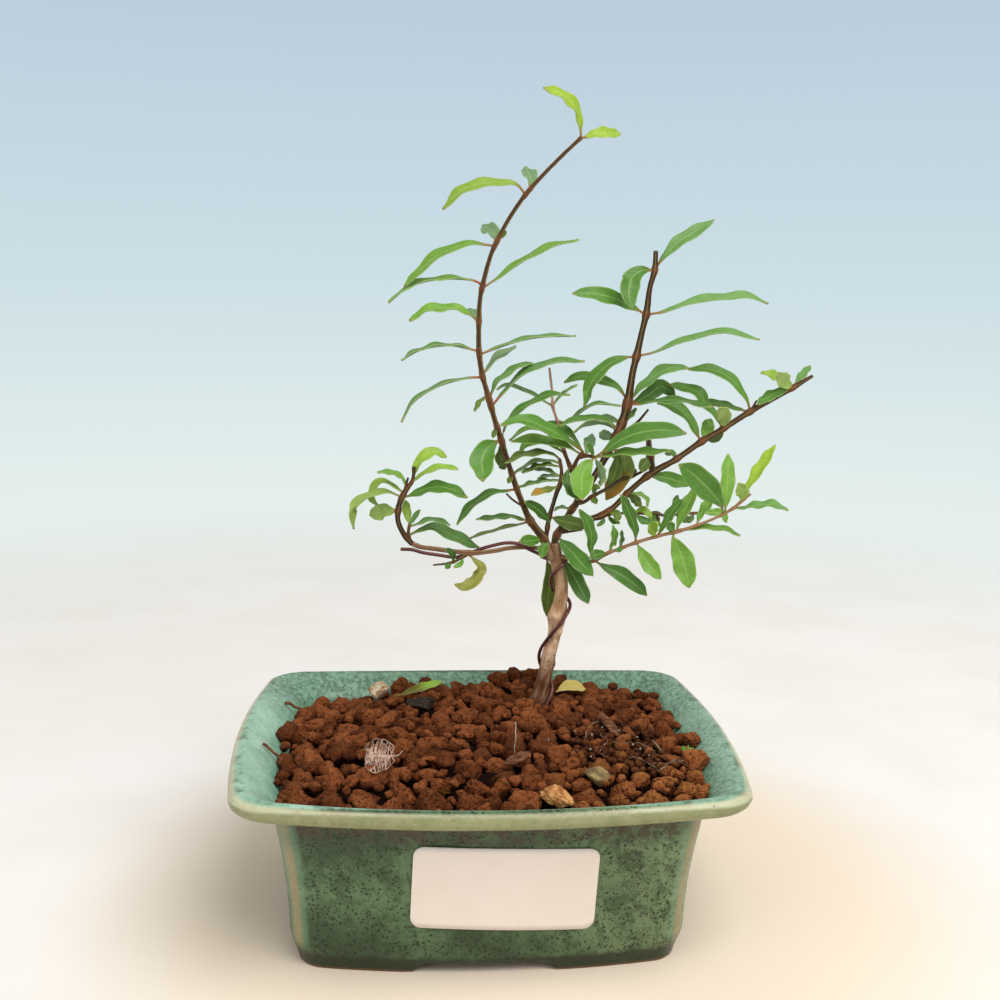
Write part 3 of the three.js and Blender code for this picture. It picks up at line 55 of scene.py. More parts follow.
POT_MIDDLE = np.array(((pot_low.x + pot_high.x) / 2, (pot_low.y + pot_high.y) / 2, pot_low.z))
# noise_vector takes its offsets from the clock unless the noise has a seed
noise.seed_set(42)

# %% [markdown]
# Every piece below is a mesh made from lists of points and faces. They could be modelled one by one by hand, but a
# plant has hundreds of leaves and granules that differ only in size, place and tint, so rules with seeded chance
# place them. A Bundle gathers the points of one piece in millimetres round the pot's middle. It also carries
# values for each point, such as a leaf's tint, that the finishes read later on.

# %% A bundle of points that becomes one piece
def put(name, data):
    """Puts an object with this mesh, lamp or camera into the scene."""
    made = bpy.data.objects.new(name, data)
    bpy.context.collection.objects.link(made)
    return made


def mesh_from(shape, name):
    """The mesh of a shape that was built with bmesh."""
    mesh = bpy.data.meshes.new(name)
    shape.to_mesh(mesh)
    shape.free()
    return mesh


class Bundle:
    """The points, faces and point values of one piece while it is put together."""

    def __init__(self):
        self.points, self.faces, self.picks, self.values, self.count = [], [], [], {}, 0

    def add(self, points, faces, pick=0, **values):
        """Adds points and faces, which take the finish of number pick, with values for the points."""
        points = np.asarray(points, dtype=float)
        self.points.append(points)
        self.faces += [[corner + self.count for corner in face] for face in faces]
        self.picks += [pick] * len(faces)
        for name, value in values.items():
            value = np.asarray(value, dtype=float)
            full = (len(points),) if value.ndim == 0 or value.shape == (len(points),) else (len(points), 3)
            self.values.setdefault(name, []).append(np.broadcast_to(value, full))
        self.count += len(points)

    def piece(self, name, finishes, slot, *nodes):
        """Makes the piece, in place of these nodes of the solids."""
        mesh = bpy.data.meshes.new(name)
        mesh.from_pydata(np.concatenate(self.points) * MM + POT_MIDDLE, [], self.faces)
        for label, parts in self.values.items():
            data = np.concatenate(parts).astype(np.float32)
            kind, field = ("FLOAT", "value") if data.ndim == 1 else ("FLOAT_VECTOR", "vector")
            mesh.attributes.new(label, kind, "POINT").data.foreach_set(field, data.ravel())
        for finish in finishes:
            mesh.materials.append(finish.material)
        mesh.polygons.foreach_set("material_index", self.picks)
        mesh.polygons.foreach_set("use_smooth", [True] * len(mesh.polygons))
        made = put(name, mesh)
        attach(made, "root")
        if nodes:
            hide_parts(*nodes)
        print(f"{name}: {len(self.faces)} faces")
        return made

# %% [markdown]
# Finishes are built from nodes. Wiring them by hand hides the sums behind them, so a Signal wraps one socket and
# lets an ordinary Python expression add the Math nodes. Colours are mixed with Mix nodes, because a Math node
# would turn them grey. A Finish holds the node tree of one material and makes every other node by one method.
# A colour is written as its screen code. Real surfaces are layered, so a finish is a ground with coats over it.

# %% Shader sums as plain expressions
class Signal:
    """One socket of a finish. A sum with it adds the Math nodes that work it out."""

    def __init__(self, finish, socket):
        self.finish, self.socket = finish, socket

    def maths(self, operation, *others, first=None):
        """Adds a Math node with this signal as its first term, or as its second where another comes first."""
        terms = (self, *others) if first is None else (first, self)
        return self.finish.node("ShaderNodeMath", {"operation": operation}, dict(enumerate(terms)))

    def __add__(self, other):
        return self.maths("ADD", other)

    def __sub__(self, other):
        return self.maths("SUBTRACT", other)

    def __rsub__(self, other):
        return self.maths("SUBTRACT", first=other)

    def __mul__(self, other):
        return self.maths("MULTIPLY", other)

    def __truediv__(self, other):
        return self.maths("DIVIDE", other)

    def __rtruediv__(self, other):
        return self.maths("DIVIDE", first=other)

    def __pow__(self, other):
        return self.maths("POWER", other)

    def __abs__(self):
        return self.maths("ABSOLUTE")

    __radd__ = __add__
    __rmul__ = __mul__

    def step(self, low, high):
        """0 below low, 1 above high and a soft ramp between, or the other way round where low is the higher."""
        settings = {"interpolation_type": "SMOOTHSTEP"}
        return self.finish.node("ShaderNodeMapRange", settings, {0: self, 1: low, 2: high})


def shade(code):
    """The linear colour of a screen colour such as 5f9a80."""
    parts = [int(code[i:i + 2], 16) / 255 for i in (0, 2, 4)]
    return tuple(((c + 0.055) / 1.055) ** 2.4 if c > 0.04045 else c / 12.92 for c in parts) + (1.0,)


# %% A finish and its nodes
class Finish:
    """The node tree of one material, or of the world if that is given."""

    def __init__(self, name, world=None):
        self.material = world or bpy.data.materials.new(name)
        self.material.use_nodes = True
        self.tree = self.material.node_tree
        self.tree.nodes.clear()

    def node(self, kind, settings=None, sockets=None, output=0):
        """Adds a node: first its settings, a ramp's stops among them, and then what goes into its sockets."""
        made = self.tree.nodes.new(kind)
        for name, value in (settings or {}).items():
            if name == "stops":
                for at, _ in value[1:-1]:
                    made.color_ramp.elements.new(at)
                for place, (at, colour) in zip(made.color_ramp.elements, value):
                    place.position, place.color = at, colour
            else:
                setattr(made, name, value)
        for key, value in (sockets or {}).items():
            if isinstance(value, Signal):
                self.tree.links.new(value.socket, made.inputs[key])
            else:
                made.inputs[key].default_value = value
        return None if output is None else Signal(self, made.outputs[output])

    def value(self, name):
        """A number that the points of the piece carry."""
        return self.node("ShaderNodeAttribute", {"attribute_name": name}, output="Fac")

    def colour(self, name):
        """A colour that the points of the piece carry."""
        return self.node("ShaderNodeAttribute", {"attribute_name": name}, output="Color")

    def place(self, name=None, stretch=(1, 1, 1)):
        """Where a point is, in metres, or the point value that stands for it, stretched along the axes."""
        if name:
            start = self.node("ShaderNodeAttribute", {"attribute_name": name}, output="Vector")
        else:
            start = self.node("ShaderNodeTexCoord", output="Object")
        return self.node("ShaderNodeVectorMath", {"operation": "MULTIPLY"}, {0: start, 1: stretch})

    def noise(self, size, detail=3.0, place=None, warp=0.0):
        """Soft cloudy noise with lumps of about this many millimetres."""
        sockets = {"Vector": place or self.place(), "Scale": 1 / (size * MM), "Detail": detail, "Distortion": warp}
        return self.node("ShaderNodeTexNoise", {}, sockets)

    def cells(self, size, place=None):
        """The distance to the nearest of points strewn this many millimetres apart."""
        return self.node("ShaderNodeTexVoronoi", {}, {"Vector": place or self.place(), "Scale": 1 / (size * MM)})

    def blend(self, share, under, over, way="MIX"):
        """This share of the colour over, on the colour under. Each is a signal, a colour or its code."""
        settings = {"data_type": "RGBA", "blend_type": way}
        under, over = (shade(colour) if isinstance(colour, str) else colour for colour in (under, over))
        return self.node("ShaderNodeMix", settings, {0: share, 6: under, 7: over}, output=2)

    def coats(self, ground, *coats):
        """Lays coats on a ground, the lowest first. Each is its share and its colour."""
        for share, over in coats:
            ground = self.blend(share, ground, over)
        return ground

    def surface(self, colour, roughness, relief=None, height=0.1, **fixed):
        """Ends the finish: relief is a signal that stands for this many millimetres of height."""
        sockets = {"Base Color": colour, "Roughness": roughness, **fixed}
        if relief:
            sockets["Normal"] = self.node("ShaderNodeBump", {}, {"Distance": height * MM, "Height": relief})
        skin = self.node("ShaderNodeBsdfPrincipled", {}, sockets)
        self.node("ShaderNodeOutputMaterial", {}, {"Surface": skin}, output=None)
        print("finish", self.material.name, "has", len(self.tree.nodes), "nodes")
        return self

# %% [markdown]
# Curved things such as leaves, wire and roots are drawn as a few points with a smooth line through them. A spline
# object could do this too, but here the same line has to carry other numbers along, such as the wood's radius, so
# it is worked out in code, and read at even steps.

# %% Smooth lines, rings and tubes
def smooth_line(points, count, spans=16):
    """Reads a smooth curve through points at even steps; columns after the third are carried along."""
    points = np.asarray(points, dtype=float)
    ends = [2 * points[0] - points[1], *points, 2 * points[-1] - points[-2]]
    fine = []
    for p0, p1, p2, p3 in zip(ends, ends[1:], ends[2:], ends[3:]):
        gaps = [max(1e-4, np.linalg.norm((b - a)[:3]) ** 0.5) for a, b in ((p0, p1), (p1, p2), (p2, p3))]
        leave = (p1 - p0) / gaps[0] - (p2 - p0) / (gaps[0] + gaps[1]) + (p2 - p1) / gaps[1]
        reach = (p2 - p1) / gaps[1] - (p3 - p1) / (gaps[1] + gaps[2]) + (p3 - p2) / gaps[2]
        leave, reach = leave * gaps[1], reach * gaps[1]
        for s in np.arange(spans) / spans:
            fine.append(p1 + leave * s + (3 * (p2 - p1) - 2 * leave - reach) * s**2
                        + (leave + reach - 2 * (p2 - p1)) * s**3)
    fine = np.array(fine + [points[-1]])
    run = np.concatenate([[0], np.cumsum(np.linalg.norm(np.diff(fine[:, :3], axis=0), axis=1))])
    even = np.linspace(0, run[-1], count)
    return np.stack([np.interp(even, run, column) for column in fine.T], axis=1)


def unit(vector):
    return vector / max(1e-9, np.linalg.norm(vector))


def joined_rings(count, around, flip=False):
    """The faces that join rings of points, each ring to the next. flip turns them over."""
    faces = []
    for start in range(0, (count - 1) * around, around):
        for k in range(around):
            a, b = start + k, start + (k + 1) % around
            faces.append((a, a + around, b + around, b) if flip else (a, b, b + around, a + around))
    return faces


def tube(line, sides, shape=None):
    """A closed tube round a line whose fourth column is its radius. shape changes the radius all round."""
    centres, radii = line[:, :3], line[:, 3]
    ahead = np.gradient(centres, axis=0)
    side = unit(np.cross((0, -1, 0.01), unit(ahead[0])))
    points, skin = [], []
    run = np.concatenate([[0], np.cumsum(np.linalg.norm(np.diff(centres, axis=0), axis=1))])
    for i, centre in enumerate(centres):
        tangent = unit(ahead[i])
        side = unit(side - tangent * side.dot(tangent))
        other = np.cross(tangent, side)
        angles = 2 * math.pi * np.arange(sides) / sides
        out = np.outer(np.cos(angles), side) + np.outer(np.sin(angles), other)
        radius = np.full(sides, radii[i])
        if shape:
            radius = shape(run[i], angles, radii[i], centre + out * radii[i])
        points.append(centre + out * radius[:, None])
        skin.append(np.stack([np.cos(angles), np.sin(angles), np.full(sides, run[i])], axis=1))
    points = np.concatenate(points + [centres[:1], centres[-1:]])
    skin = np.concatenate(skin + [[(0, 0, 0)], [(0, 0, run[-1])]])
    faces = joined_rings(len(centres), sides)
    first, last, top = len(points) - 2, len(points) - 1, (len(centres) - 1) * sides
    for k in range(sides):
        faces.append((first, (k + 1) % sides, k))
        faces.append((last, top + k, top + (k + 1) % sides))
    return points, faces, skin

# %% [markdown]
# The pot is slip cast: a rounded rectangle whose sides bulge a little, under a wide flared lip with a thick rolled
# edge, on four corner feet left between low notches. A subdivided box would need many support loops to hold that
# lip. Instead one outline is drawn again and again at each level of the wall, outside up and inside down, which
# gives the wall's true thickness and lets every point remember how high and how far inside it lies.

# %% The pot's outline at any level
RIM_TOP = 55.2
RIM_HALF = (75.0, 62.2)
SIDE_BULGES = (3.5, 4.0)
RIM_SAG = 1.8
NOTCH_HEIGHT = 3.0
# each level of the wall: how far inside the rim's edge it lies, its height and its corner radius
OUTER_WALL = [
    (18.3, 0, 9), (17.5, 3.2, 9), (16.2, 7.5, 9), (15.8, 15, 9), (14.7, 26.8, 9.5), (13.0, 37.5, 10),
    (10.6, 46.9, 10.5), (4.5, 49.0, 11.5), (0.8, 50.4, 12), (0, 52.4, 12), (0.9, 54.2, 12), (3.0, RIM_TOP, 12),
]
INNER_WALL = [
    (5.2, 54.5, 11), (9.6, 51.6, 10), (12.8, 48.2, 9), (14.4, 44.2, 9), (17.6, 30, 8), (19.8, 15, 7),
    (22.4, 9.2, 6), (26, 7, 6),
]


def soft_step(value, low, high):
    share = np.clip((value - low) / (high - low), 0, 1)
    return share * share * (3 - 2 * share)


def plan_ring(inset, height, corner, steps=(22, 30), corner_steps=9):
    """One level of the pot, anticlockwise from above: points, and how far round a corner each one lies."""
    half = (RIM_HALF[0] - inset, RIM_HALF[1] - inset * 0.83)
    bulges = (SIDE_BULGES[0] * half[0] / RIM_HALF[0], SIDE_BULGES[1])
    cx, cy = half[0] - corner - bulges[0], half[1] - corner - bulges[1]
    corners = [np.array(c) for c in ((cx, -cy), (cx, cy), (-cx, cy), (-cx, -cy))]
    flat, turned = [], []
    for side in range(4):
        start, stop = corners[side], corners[(side + 1) % 4]
        length = np.linalg.norm(stop - start)
        along = (stop - start) / length
        out = np.array((along[1], -along[0]))
        bulge = bulges[side % 2]
        for s in np.linspace(0, 1, steps[side % 2] + 1):
            slope = bulge * 4 * (1 - 2 * s) / length
            normal = (out - along * slope) / math.hypot(1, slope)
            flat.append(start + (stop - start) * s + out * bulge * 4 * s * (1 - s) + normal * corner)
            turned.append(max(0, 1 - min(s, 1 - s) * length / 6) * 0.25)
        first = out + along * bulge * 4 / length
        angle = math.atan2(first[1], first[0])
        turn = math.pi / 2 - math.atan(bulge * 4 / length)
        turn -= math.atan(bulges[(side + 1) % 2] * 4 / (2 * (cx if side % 2 == 0 else cy)))
        for step in range(1, corner_steps + 1):
            at = angle + turn * step / (corner_steps + 1)
            flat.append(stop + corner * np.array((math.cos(at), math.sin(at))))
            turned.append(0.25 + 0.75 * math.sin(math.pi * step / (corner_steps + 1)))
    flat = np.array(flat)
    sag = RIM_SAG * soft_step(height, 40, RIM_TOP - 2) * np.maximum(0, 1 - (flat[:, 0] / RIM_HALF[0]) ** 2)
    return np.column_stack([flat, height - sag]), np.array(turned)


def wall_waver(point):
    """How far the wall stands out of true at a point, since it was cast by hand."""
    return noise.noise(Vector(point) * 0.045) * 0.22


def foot_lift(points):
    """How high the notches between the four feet lift the foot's edge."""
    along = np.minimum(np.abs(points[:, 0] + 1.8), np.abs(points[:, 1]))
    return NOTCH_HEIGHT * soft_step(along, 21.2, 15.4)

# %% [markdown]
# The levels are joined ring by ring into one closed skin, left slightly out of true as a cast pot is. Each point
# remembers how far inside the edge it lies, how far round a corner and how high, and where the glaze gets painted
# shade at the back and right and painted light at the front on the right. The glaze could be painted on by hand,
# but with these values it can be mixed by rule.

# %% Build the pot
def pot_levels():
    outer = smooth_line(np.array(OUTER_WALL), 56)
    inner = smooth_line(np.array([OUTER_WALL[-1], *INNER_WALL]), 30)[1:]
    return np.concatenate([outer, inner]), len(outer)


levels, outside_count = pot_levels()
pot = Bundle()
rings, masks = [], []
for number, (inset, height, corner) in enumerate([(27, 2.5, 6), (25.5, 2.3, 6), (25, 0, 6), *levels]):
    ring, turned = plan_ring(inset, height, corner)
    lift = foot_lift(ring)
    if height < 3.2 and number > 1:
        ring[:, 2] = lift + height * (3.2 - lift) / 3.2
    inside = float(number >= outside_count + 3)
    rings.append(ring)
    masks.append(np.column_stack([np.full(len(ring), inset), turned, np.full(len(ring), inside)]))
around = len(rings[0])
faces = joined_rings(len(rings), around)
faces.append(tuple(range(around))[::-1])
faces.append(tuple((len(rings) - 1) * around + k for k in range(around)))
points = np.concatenate(rings)
waver = np.array([wall_waver(point) for point in points])
outward = points[:, :2] / np.linalg.norm(points[:, :2], axis=1)[:, None]
points[:, :2] += outward * waver[:, None]
marks = np.concatenate(masks)
height_mask = points[:, 2] / RIM_TOP
# painted shade: the flange is darker at the back and on the right
pooled = soft_step(points[:, 0], 5, 62) * 0.7 + soft_step(points[:, 1], 10, 46)
# painted light: the front of the body is paler on the right
thinned = soft_step(points[:, 0], 12, 52) * soft_step(points[:, 1], 0, -45)
pot.add(points, faces, inset=marks[:, 0], cornering=marks[:, 1], inside=marks[:, 2], height=height_mask,
        pooled=np.minimum(pooled, 1), thinned=thinned)

# %% [markdown]
# The glaze is a thick satin sea green that has run while it was molten. It broke to a thin cream where the lip
# rolls over and to tan down the four upright corners. It is darker in drifts on the body and towards the foot.
# Painted shade darkens the back and right of the flange and a band under the lip, painted light makes the right of
# the front paler, the lip's face is olive, there are brown patches under it, and a dark band runs round the feet.
# It is peppered with small round iron spots in drifts. A picture could be wrapped on, but it would stretch in the
# corners, so the colour is mixed from noise and cells at several sizes and from the values that each point of the
# wall remembers.

# %% The glaze
glaze = Finish("sea_green_glaze")
inset, cornering, pooled, thinned = (glaze.value(name) for name in ("inset", "cornering", "pooled", "thinned"))
inside, height = glaze.value("inside"), glaze.value("height") * RIM_TOP
outside = 1 - inside
upper_side = (inside + height.step(53.3, 54.1)).step(0.0, 1.0)
clouds = glaze.noise(16, 4)
drifts = glaze.noise(5, 3, warp=0.5)
veil = glaze.noise(1.5, 4)


def iron_spots(size, low, high):
    """Round spots of a quarter of this size, where the drifts are thick enough."""
    return glaze.cells(size).step(0.40, 0.22) * (glaze.noise(size * 3, 3) + drifts * 0.4).step(low, high)


body = glaze.coats(
    glaze.blend(clouds.step(0.35, 0.68), "3b4f35", "5d7956"), (height.step(22, 6) * 0.4, "2f3d28"),
    # painted light on the right of the front
    (thinned * 0.55, "84996f"), (glaze.noise(1.9, 3).step(0.55, 0.66) * 0.5, "32442e"))
flange = glaze.coats(
    glaze.blend(clouds.step(0.3, 0.7), "86ae96", "a0c6b0"), (inset.step(7.5, 13) * 0.5, "72ab93"),
    # painted shade on the back and right of the flange
    (pooled * 0.8, glaze.blend(veil.step(0.36, 0.62), "4c6f5a", "7ea489")))
# painted shade in a band under the lip, where the glaze's brown patches also gather
shaded_under_lip = height.step(36.5, 43.0) * outside * inset.step(8.0, 9.5)
patches = glaze.noise(2.8, 4, warp=0.8)
mottle = (patches + shaded_under_lip * 0.14 - 0.08).step(0.5, 0.58) * (shaded_under_lip * 0.85 + 0.04)
spotted = iron_spots(1.25, 0.60, 0.70) + iron_spots(0.75, 0.60, 0.72) * 0.9
lip_face = inset.step(4.8, 3.2) * height.step(53.0, 52.3) * height.step(48.4, 49.2) * outside
edge = inset.step(2.3, 1.0) * height.step(52.2, 53.1)
upright = outside * inset.step(8.5, 10.5) * height.step(4.0, 9.0)
brown_spots = glaze.noise(1.6, 2).step(0.70, 0.76) * inset.step(4.0, 2.5)
foot = (height + glaze.noise(4, 2) * 1.8).step(6.6, 4.6) * outside
bare = height.step(0.7, 0.2) * outside
colour = glaze.coats(
    glaze.blend(upper_side, body, flange),
    (drifts.step(0.47, 0.66) * (0.62 - inside * 0.5), "2f4428"),
    # painted shade under the lip
    (shaded_under_lip * 0.45, "434b36"),
    (mottle, "4b4234"),
    (spotted * (0.85 - upper_side * 0.68 + pooled * inside * 0.3), "1a2815"),
    (lip_face * 0.92, glaze.blend(drifts.step(0.35, 0.65), "86885f", "96966d")),
    (edge * 0.85, glaze.blend(drifts.step(0.4, 0.65), "c3c4a2", "bdb394")),
    (cornering.step(0.45, 0.8) * upright * 0.4, "7ba283"),
    (cornering.step(0.8, 1.0) * upright * (clouds.step(0.3, 0.6) * 0.4 + 0.35), "a08c68"),
    (brown_spots * 0.7, "7d6647"),
    (foot * 0.9, "262e1b"),
    (bare, "7a5a42"))
gloss = 0.26 + spotted * 0.1 + edge * 0.12 + bare * 0.4
relief = glaze.noise(2.4, 2) - spotted * 0.3
glaze.surface(colour, gloss, relief, 0.12, **{"IOR": 1.45, "Specular IOR Level": 0.4})

# %% [markdown]
# Water leaves through two round holes in the floor. They could be drawn into the rings of the wall, but they lie
# across them, so a round plug is taken away from the finished body, which leaves a clean edge.

# %% Cut the drain holes
pot_piece = pot.piece("glazed_pot", [glaze], "glaze", "pot")
DRAIN_OFFSET, DRAIN_RADIUS, FLOOR_TOP = 28, 7, 7
for side in (-1, 1):
    plug = bmesh.new()
    radius = DRAIN_RADIUS * MM
    bmesh.ops.create_cone(plug, cap_ends=True, segments=48, radius1=radius, radius2=radius, depth=0.03)
    middle = Vector(POT_MIDDLE) + Vector((side * DRAIN_OFFSET, 0, FLOOR_TOP)) * MM
    bmesh.ops.translate(plug, verts=plug.verts, vec=middle)
    cutter = put("drain_cutter", mesh_from(plug, "drain_cutter"))
    cut = pot_piece.modifiers.new("drain", "BOOLEAN")
    cut.object, cut.operation, cut.solver = cutter, "DIFFERENCE", "EXACT"
    bpy.context.view_layer.objects.active = pot_piece
    bpy.ops.object.modifier_apply(modifier="drain")
    bpy.data.objects.remove(cutter)
print("the pot now has", len(pot_piece.data.polygons), "faces")

# %% [markdown]
# A small paper label is stuck on the pot's front, slightly askew, and left blank here. A flat card would stand
# off the curved wall at its ends, so each of its points is laid on the wall by looking up how far forward the
# wall stands there. Its corners are rounded and it is as thick as stout paper.

# %% The blank label
def front_wall(x, z):
    """How far forward the pot's front stands at a place."""
    row = int(np.searchsorted(levels[:outside_count, 1], z))
    low, high = levels[row - 1], levels[row]
    ring, _ = plan_ring(*(low + (high - low) * (z - low[1]) / (high[1] - low[1])))
    front = ring[ring[:, 1] < 0]
    front = front[np.argsort(front[:, 0])]
    return float(np.interp(x, front[:, 0], front[:, 1])) + wall_waver((x, -50, z))


LABEL_HALF, LABEL_CORNER = (25.5, 12.5), 3.0
LABEL_AT, LABEL_SLANT = (3.4, 26.5), 0.035
LABEL_FRONT, LABEL_BACK = 0.5, 0.05
label = Bundle()
label_rows, label_columns = 15, 33
points = []
for out in (LABEL_FRONT, LABEL_BACK):
    for i in range(label_columns):
        across = LABEL_HALF[0] * math.sin(math.pi / 2 * (2 * i / (label_columns - 1) - 1))
        past = max(0, abs(across) - LABEL_HALF[0] + LABEL_CORNER)
        half = LABEL_HALF[1] - LABEL_CORNER + math.sqrt(max(0, LABEL_CORNER**2 - past**2))
        for j in range(label_rows):
            up = half * (2 * j / (label_rows - 1) - 1)
            x, z = LABEL_AT[0] + across + LABEL_SLANT * up, LABEL_AT[1] + up - LABEL_SLANT * across
            points.append((x, front_wall(x, z) - out, z))
faces, back = [], label_rows * label_columns
for i in range(label_columns - 1):
    for j in range(label_rows - 1):
        a, b = i * label_rows + j, (i + 1) * label_rows + j
        faces += [(a, b, b + 1, a + 1), (back + a, back + a + 1, back + b + 1, back + b)]
    for j in (0, label_rows - 1):
        a, b = i * label_rows + j, (i + 1) * label_rows + j
        faces.append((a, back + a, back + b, b) if j == 0 else (a, b, back + b, back + a))
for j in range(label_rows - 1):
    a, b = j, (label_columns - 1) * label_rows + j
    faces += [(a, a + 1, back + a + 1, back + a), (b, back + b, back + b + 1, b + 1)]
label.add(points, faces)

paper = Finish("white_label_paper")
fibres = paper.noise(0.5, 4, paper.place(stretch=(1, 1, 2.2)))
ground = paper.blend(paper.noise(22, 2).step(0.3, 0.7), "ebe0d8", "e6dad1")
colour = paper.coats(ground, (fibres.step(0.5, 0.8) * 0.12, "d9cfc6"))
paper.surface(colour, 0.42 + fibres * 0.15, fibres, 0.01, **{"Coat Weight": 0.15})
label.piece("blank_label", [paper], "label", "label")

# %% [markdown]
# Two squares of plastic netting lie over the drain holes and keep the granules in. They only show from below. A
# sheet with a pattern would be flat, so the net is built from strands that rise and dip over one another in turn.

# %% The drain nets
net_plastic = Finish("dark_net_plastic")
scuff = net_plastic.noise(1.2, 3)
colour = net_plastic.blend(scuff.step(0.4, 0.7), "1b2621", "2f3c34")
net_plastic.surface(colour, 0.45 + scuff * 0.3, scuff, 0.03)
for side, node_name in ((-1, "drain_mesh_left"), (1, "drain_mesh_right")):
    net = Bundle()
    strands = np.linspace(-10.4, 10.4, 11)
    for i, place in enumerate(strands):
        for way in (0, 1):
            run = np.linspace(-10.9, 10.9, 45)
            lift = 0.28 * np.sin(math.pi * (run + 10.4) / (strands[1] - strands[0]) + math.pi * (i + way + 0.5))
            line = np.zeros((len(run), 4))
            line[:, way], line[:, 1 - way] = run, place
            line[:, 0] += side * DRAIN_OFFSET
            line[:, 2], line[:, 3] = FLOOR_TOP + 0.82 + lift, 0.26
            net.add(*tube(line, 6)[:2])
    net.piece(node_name.replace("mesh", "net"), [net_plastic], "drain_mesh", node_name)

# %% [markdown]
# The soil is a bed of hard-fired clay granules. Each one is a different rough crumb with blunt corners, so a bump
# map on a flat bed would never cast the right shadows in the gaps. A crumb starts as a ball of triangles, a few
# planes shave it to facets, and noise roughens it. A few dozen such lumps, turned and stretched at random, are
# enough that no two granules look alike.

# %% Lumps of fired clay
chance = np.random.default_rng(42)


def lump(subdivisions, facets=14, rough=0.05, wild=0.2, pitted=0.26):
    """A rough crumb of about unit radius, and how deep each of its points lies in the roughness."""
    ball = bmesh.new()
    bmesh.ops.create_icosphere(ball, subdivisions=subdivisions, radius=1.0)
    points = np.array([tuple(v.co) for v in ball.verts])
    faces = [[v.index for v in f.verts] for f in ball.faces]
    ball.free()
    start = Vector(chance.uniform(-40, 40, 3))
    points *= (1 + wild * np.array([noise.noise(Vector(p) * 1.5 + start) for p in points]))[:, None]
    for _ in range(facets):
        across = unit(chance.normal(size=3))
        over = np.maximum(points @ across - chance.uniform(0.52, 0.86), 0)
        points -= np.outer(over * 0.93, across)
    crumbly = np.array([noise.fractal(Vector(p) * 5 + start, 0.7, 2.1, 3) for p in points])
    pits = np.array([max(0.0, 0.34 - noise.voronoi(Vector(p) * 3.4 + start)[0][0]) for p in points])
    ridged = np.array([noise.turbulence(Vector(p) * 1.9 + start, 3, True) for p in points])
    points *= (1 + rough * crumbly - pitted * pits - 0.22 * (ridged - 0.5))[:, None]
    return points, faces, crumbly * 0.6 - pits * 2.5


def turned_about(points, size, angles):
    """Points stretched to half sizes and turned about all three axes."""
    ca, sa = np.cos(angles), np.sin(angles)
    about_x = np.array(((1, 0, 0), (0, ca[0], -sa[0]), (0, sa[0], ca[0])))
    about_y = np.array(((ca[1], 0, sa[1]), (0, 1, 0), (-sa[1], 0, ca[1])))
    about_z = np.array(((ca[2], -sa[2], 0), (sa[2], ca[2], 0), (0, 0, 1)))
    return (points * size) @ (about_z @ about_y @ about_x).T

# %% [markdown]
# The surface rises from the edge towards the middle. It is a little higher on the right than on the left, is
# heaped up behind the trunk, and falls off at the back and in a hollow at the back on the left.

# %% The soil's surface
def soil_height(x, y):
    across = max(0, 1 - (abs(x) / 64) ** 2.5) * max(0, 1 - (abs(y) / 60) ** 3)
    heap = 4.0 * math.exp(-((x - 15) ** 2 + (y - 45) ** 2) / 13**2)
    hollow = 2.0 * math.exp(-((x + 46) ** 2 + (y - 42) ** 2) / 12**2)
    return 47.4 + 6.0 * across + 1.2 * x / 64 - float(soft_step(y, 36, 52)) + heap - hollow


def room_within(ring):
    """How far a place is from a ring, towards the middle."""
    angles = np.arctan2(ring[:, 1], ring[:, 0])
    order = np.argsort(angles)
    reaches = np.hypot(*ring[order, :2].T)

    def room(x, y):
        reach = np.interp(np.arctan2(y, x), angles[order], reaches, period=2 * math.pi)
        return (reach - np.hypot(x, y)) * (0.75 + 0.25 * reach / 75)
    return room


wall_ring, _ = plan_ring(13.6, 46, 9)
room_left = room_within(plan_ring(10.4, 51, 10)[0])
WALL_HEIGHTS = np.linspace(54.5, 44.2, 40)
# how far the wall's face sags in the middle of a long side
INNER_SAG = 1.3


def wall_inset(heights):
    """How far inside the lip's outer edge the wall's face stands at these heights."""
    return np.interp(-heights, (-54.5, -51.6, -48.2, -44.2, -30), (5.2, 9.6, 12.8, 14.4, 17.6))


def wall_gap(x, y, z):
    """How far a place above the soil is from the pot's wall."""
    sag = INNER_SAG * (1 - (x / RIM_HALF[0]) ** 2)
    return np.hypot(wall_inset(WALL_HEIGHTS) - 10.4 - room_left(x, y), WALL_HEIGHTS - sag - z).min()


def kept_inside(points):
    """Points that would stand in the pot's wall are moved in to its face."""
    sag = INNER_SAG * (1 - (points[:, 0] / RIM_HALF[0]) ** 2)
    lacking = wall_inset(points[:, 2] + sag) - 10.1 - room_left(points[:, 0], points[:, 1])
    points[:, :2] *= (1 - np.maximum(0, lacking) / np.hypot(points[:, 0], points[:, 1]))[:, None]
    return points


# the patch of peat, across and back: its middle and its half sizes
PEAT = (40.0, -11.0, 17.0, 21.0)


def out_of_peat(x, y):
    """How far a place lies from the middle of the peat, which ends at 1."""
    return math.hypot((x - PEAT[0]) / PEAT[2], (y - PEAT[1]) / PEAT[3])


bed_points = []
for share in np.linspace(0.02, 0.985, 40):
    for x, y, _ in wall_ring * share:
        rise = noise.fractal(Vector((x, y, 3)) * 0.16, 0.8, 2.0, 3)
        peat_rise = 1.4 * float(soft_step(out_of_peat(x, y), 1.0, 0.7))
        bed_points.append((x, y, soil_height(x, y) - 3.0 + 0.9 * rise + peat_rise))
# the bed's sides: how far inside the rim's edge each level lies, its height and its corner radius
BED_SIDES = [(14.0, 43, 9), (16.4, 38, 8), (18.5, 30, 8), (20.7, 15, 7), (23.3, 9.6, 6), (26.4, 8.7, 6)]
for level in BED_SIDES:
    bed_points += plan_ring(*level)[0].tolist()
across = len(wall_ring)
bed_faces = joined_rings(len(bed_points) // across, across, flip=True)
bed_faces += [tuple(range(across)), tuple(range(len(bed_points) - across, len(bed_points)))[::-1]]

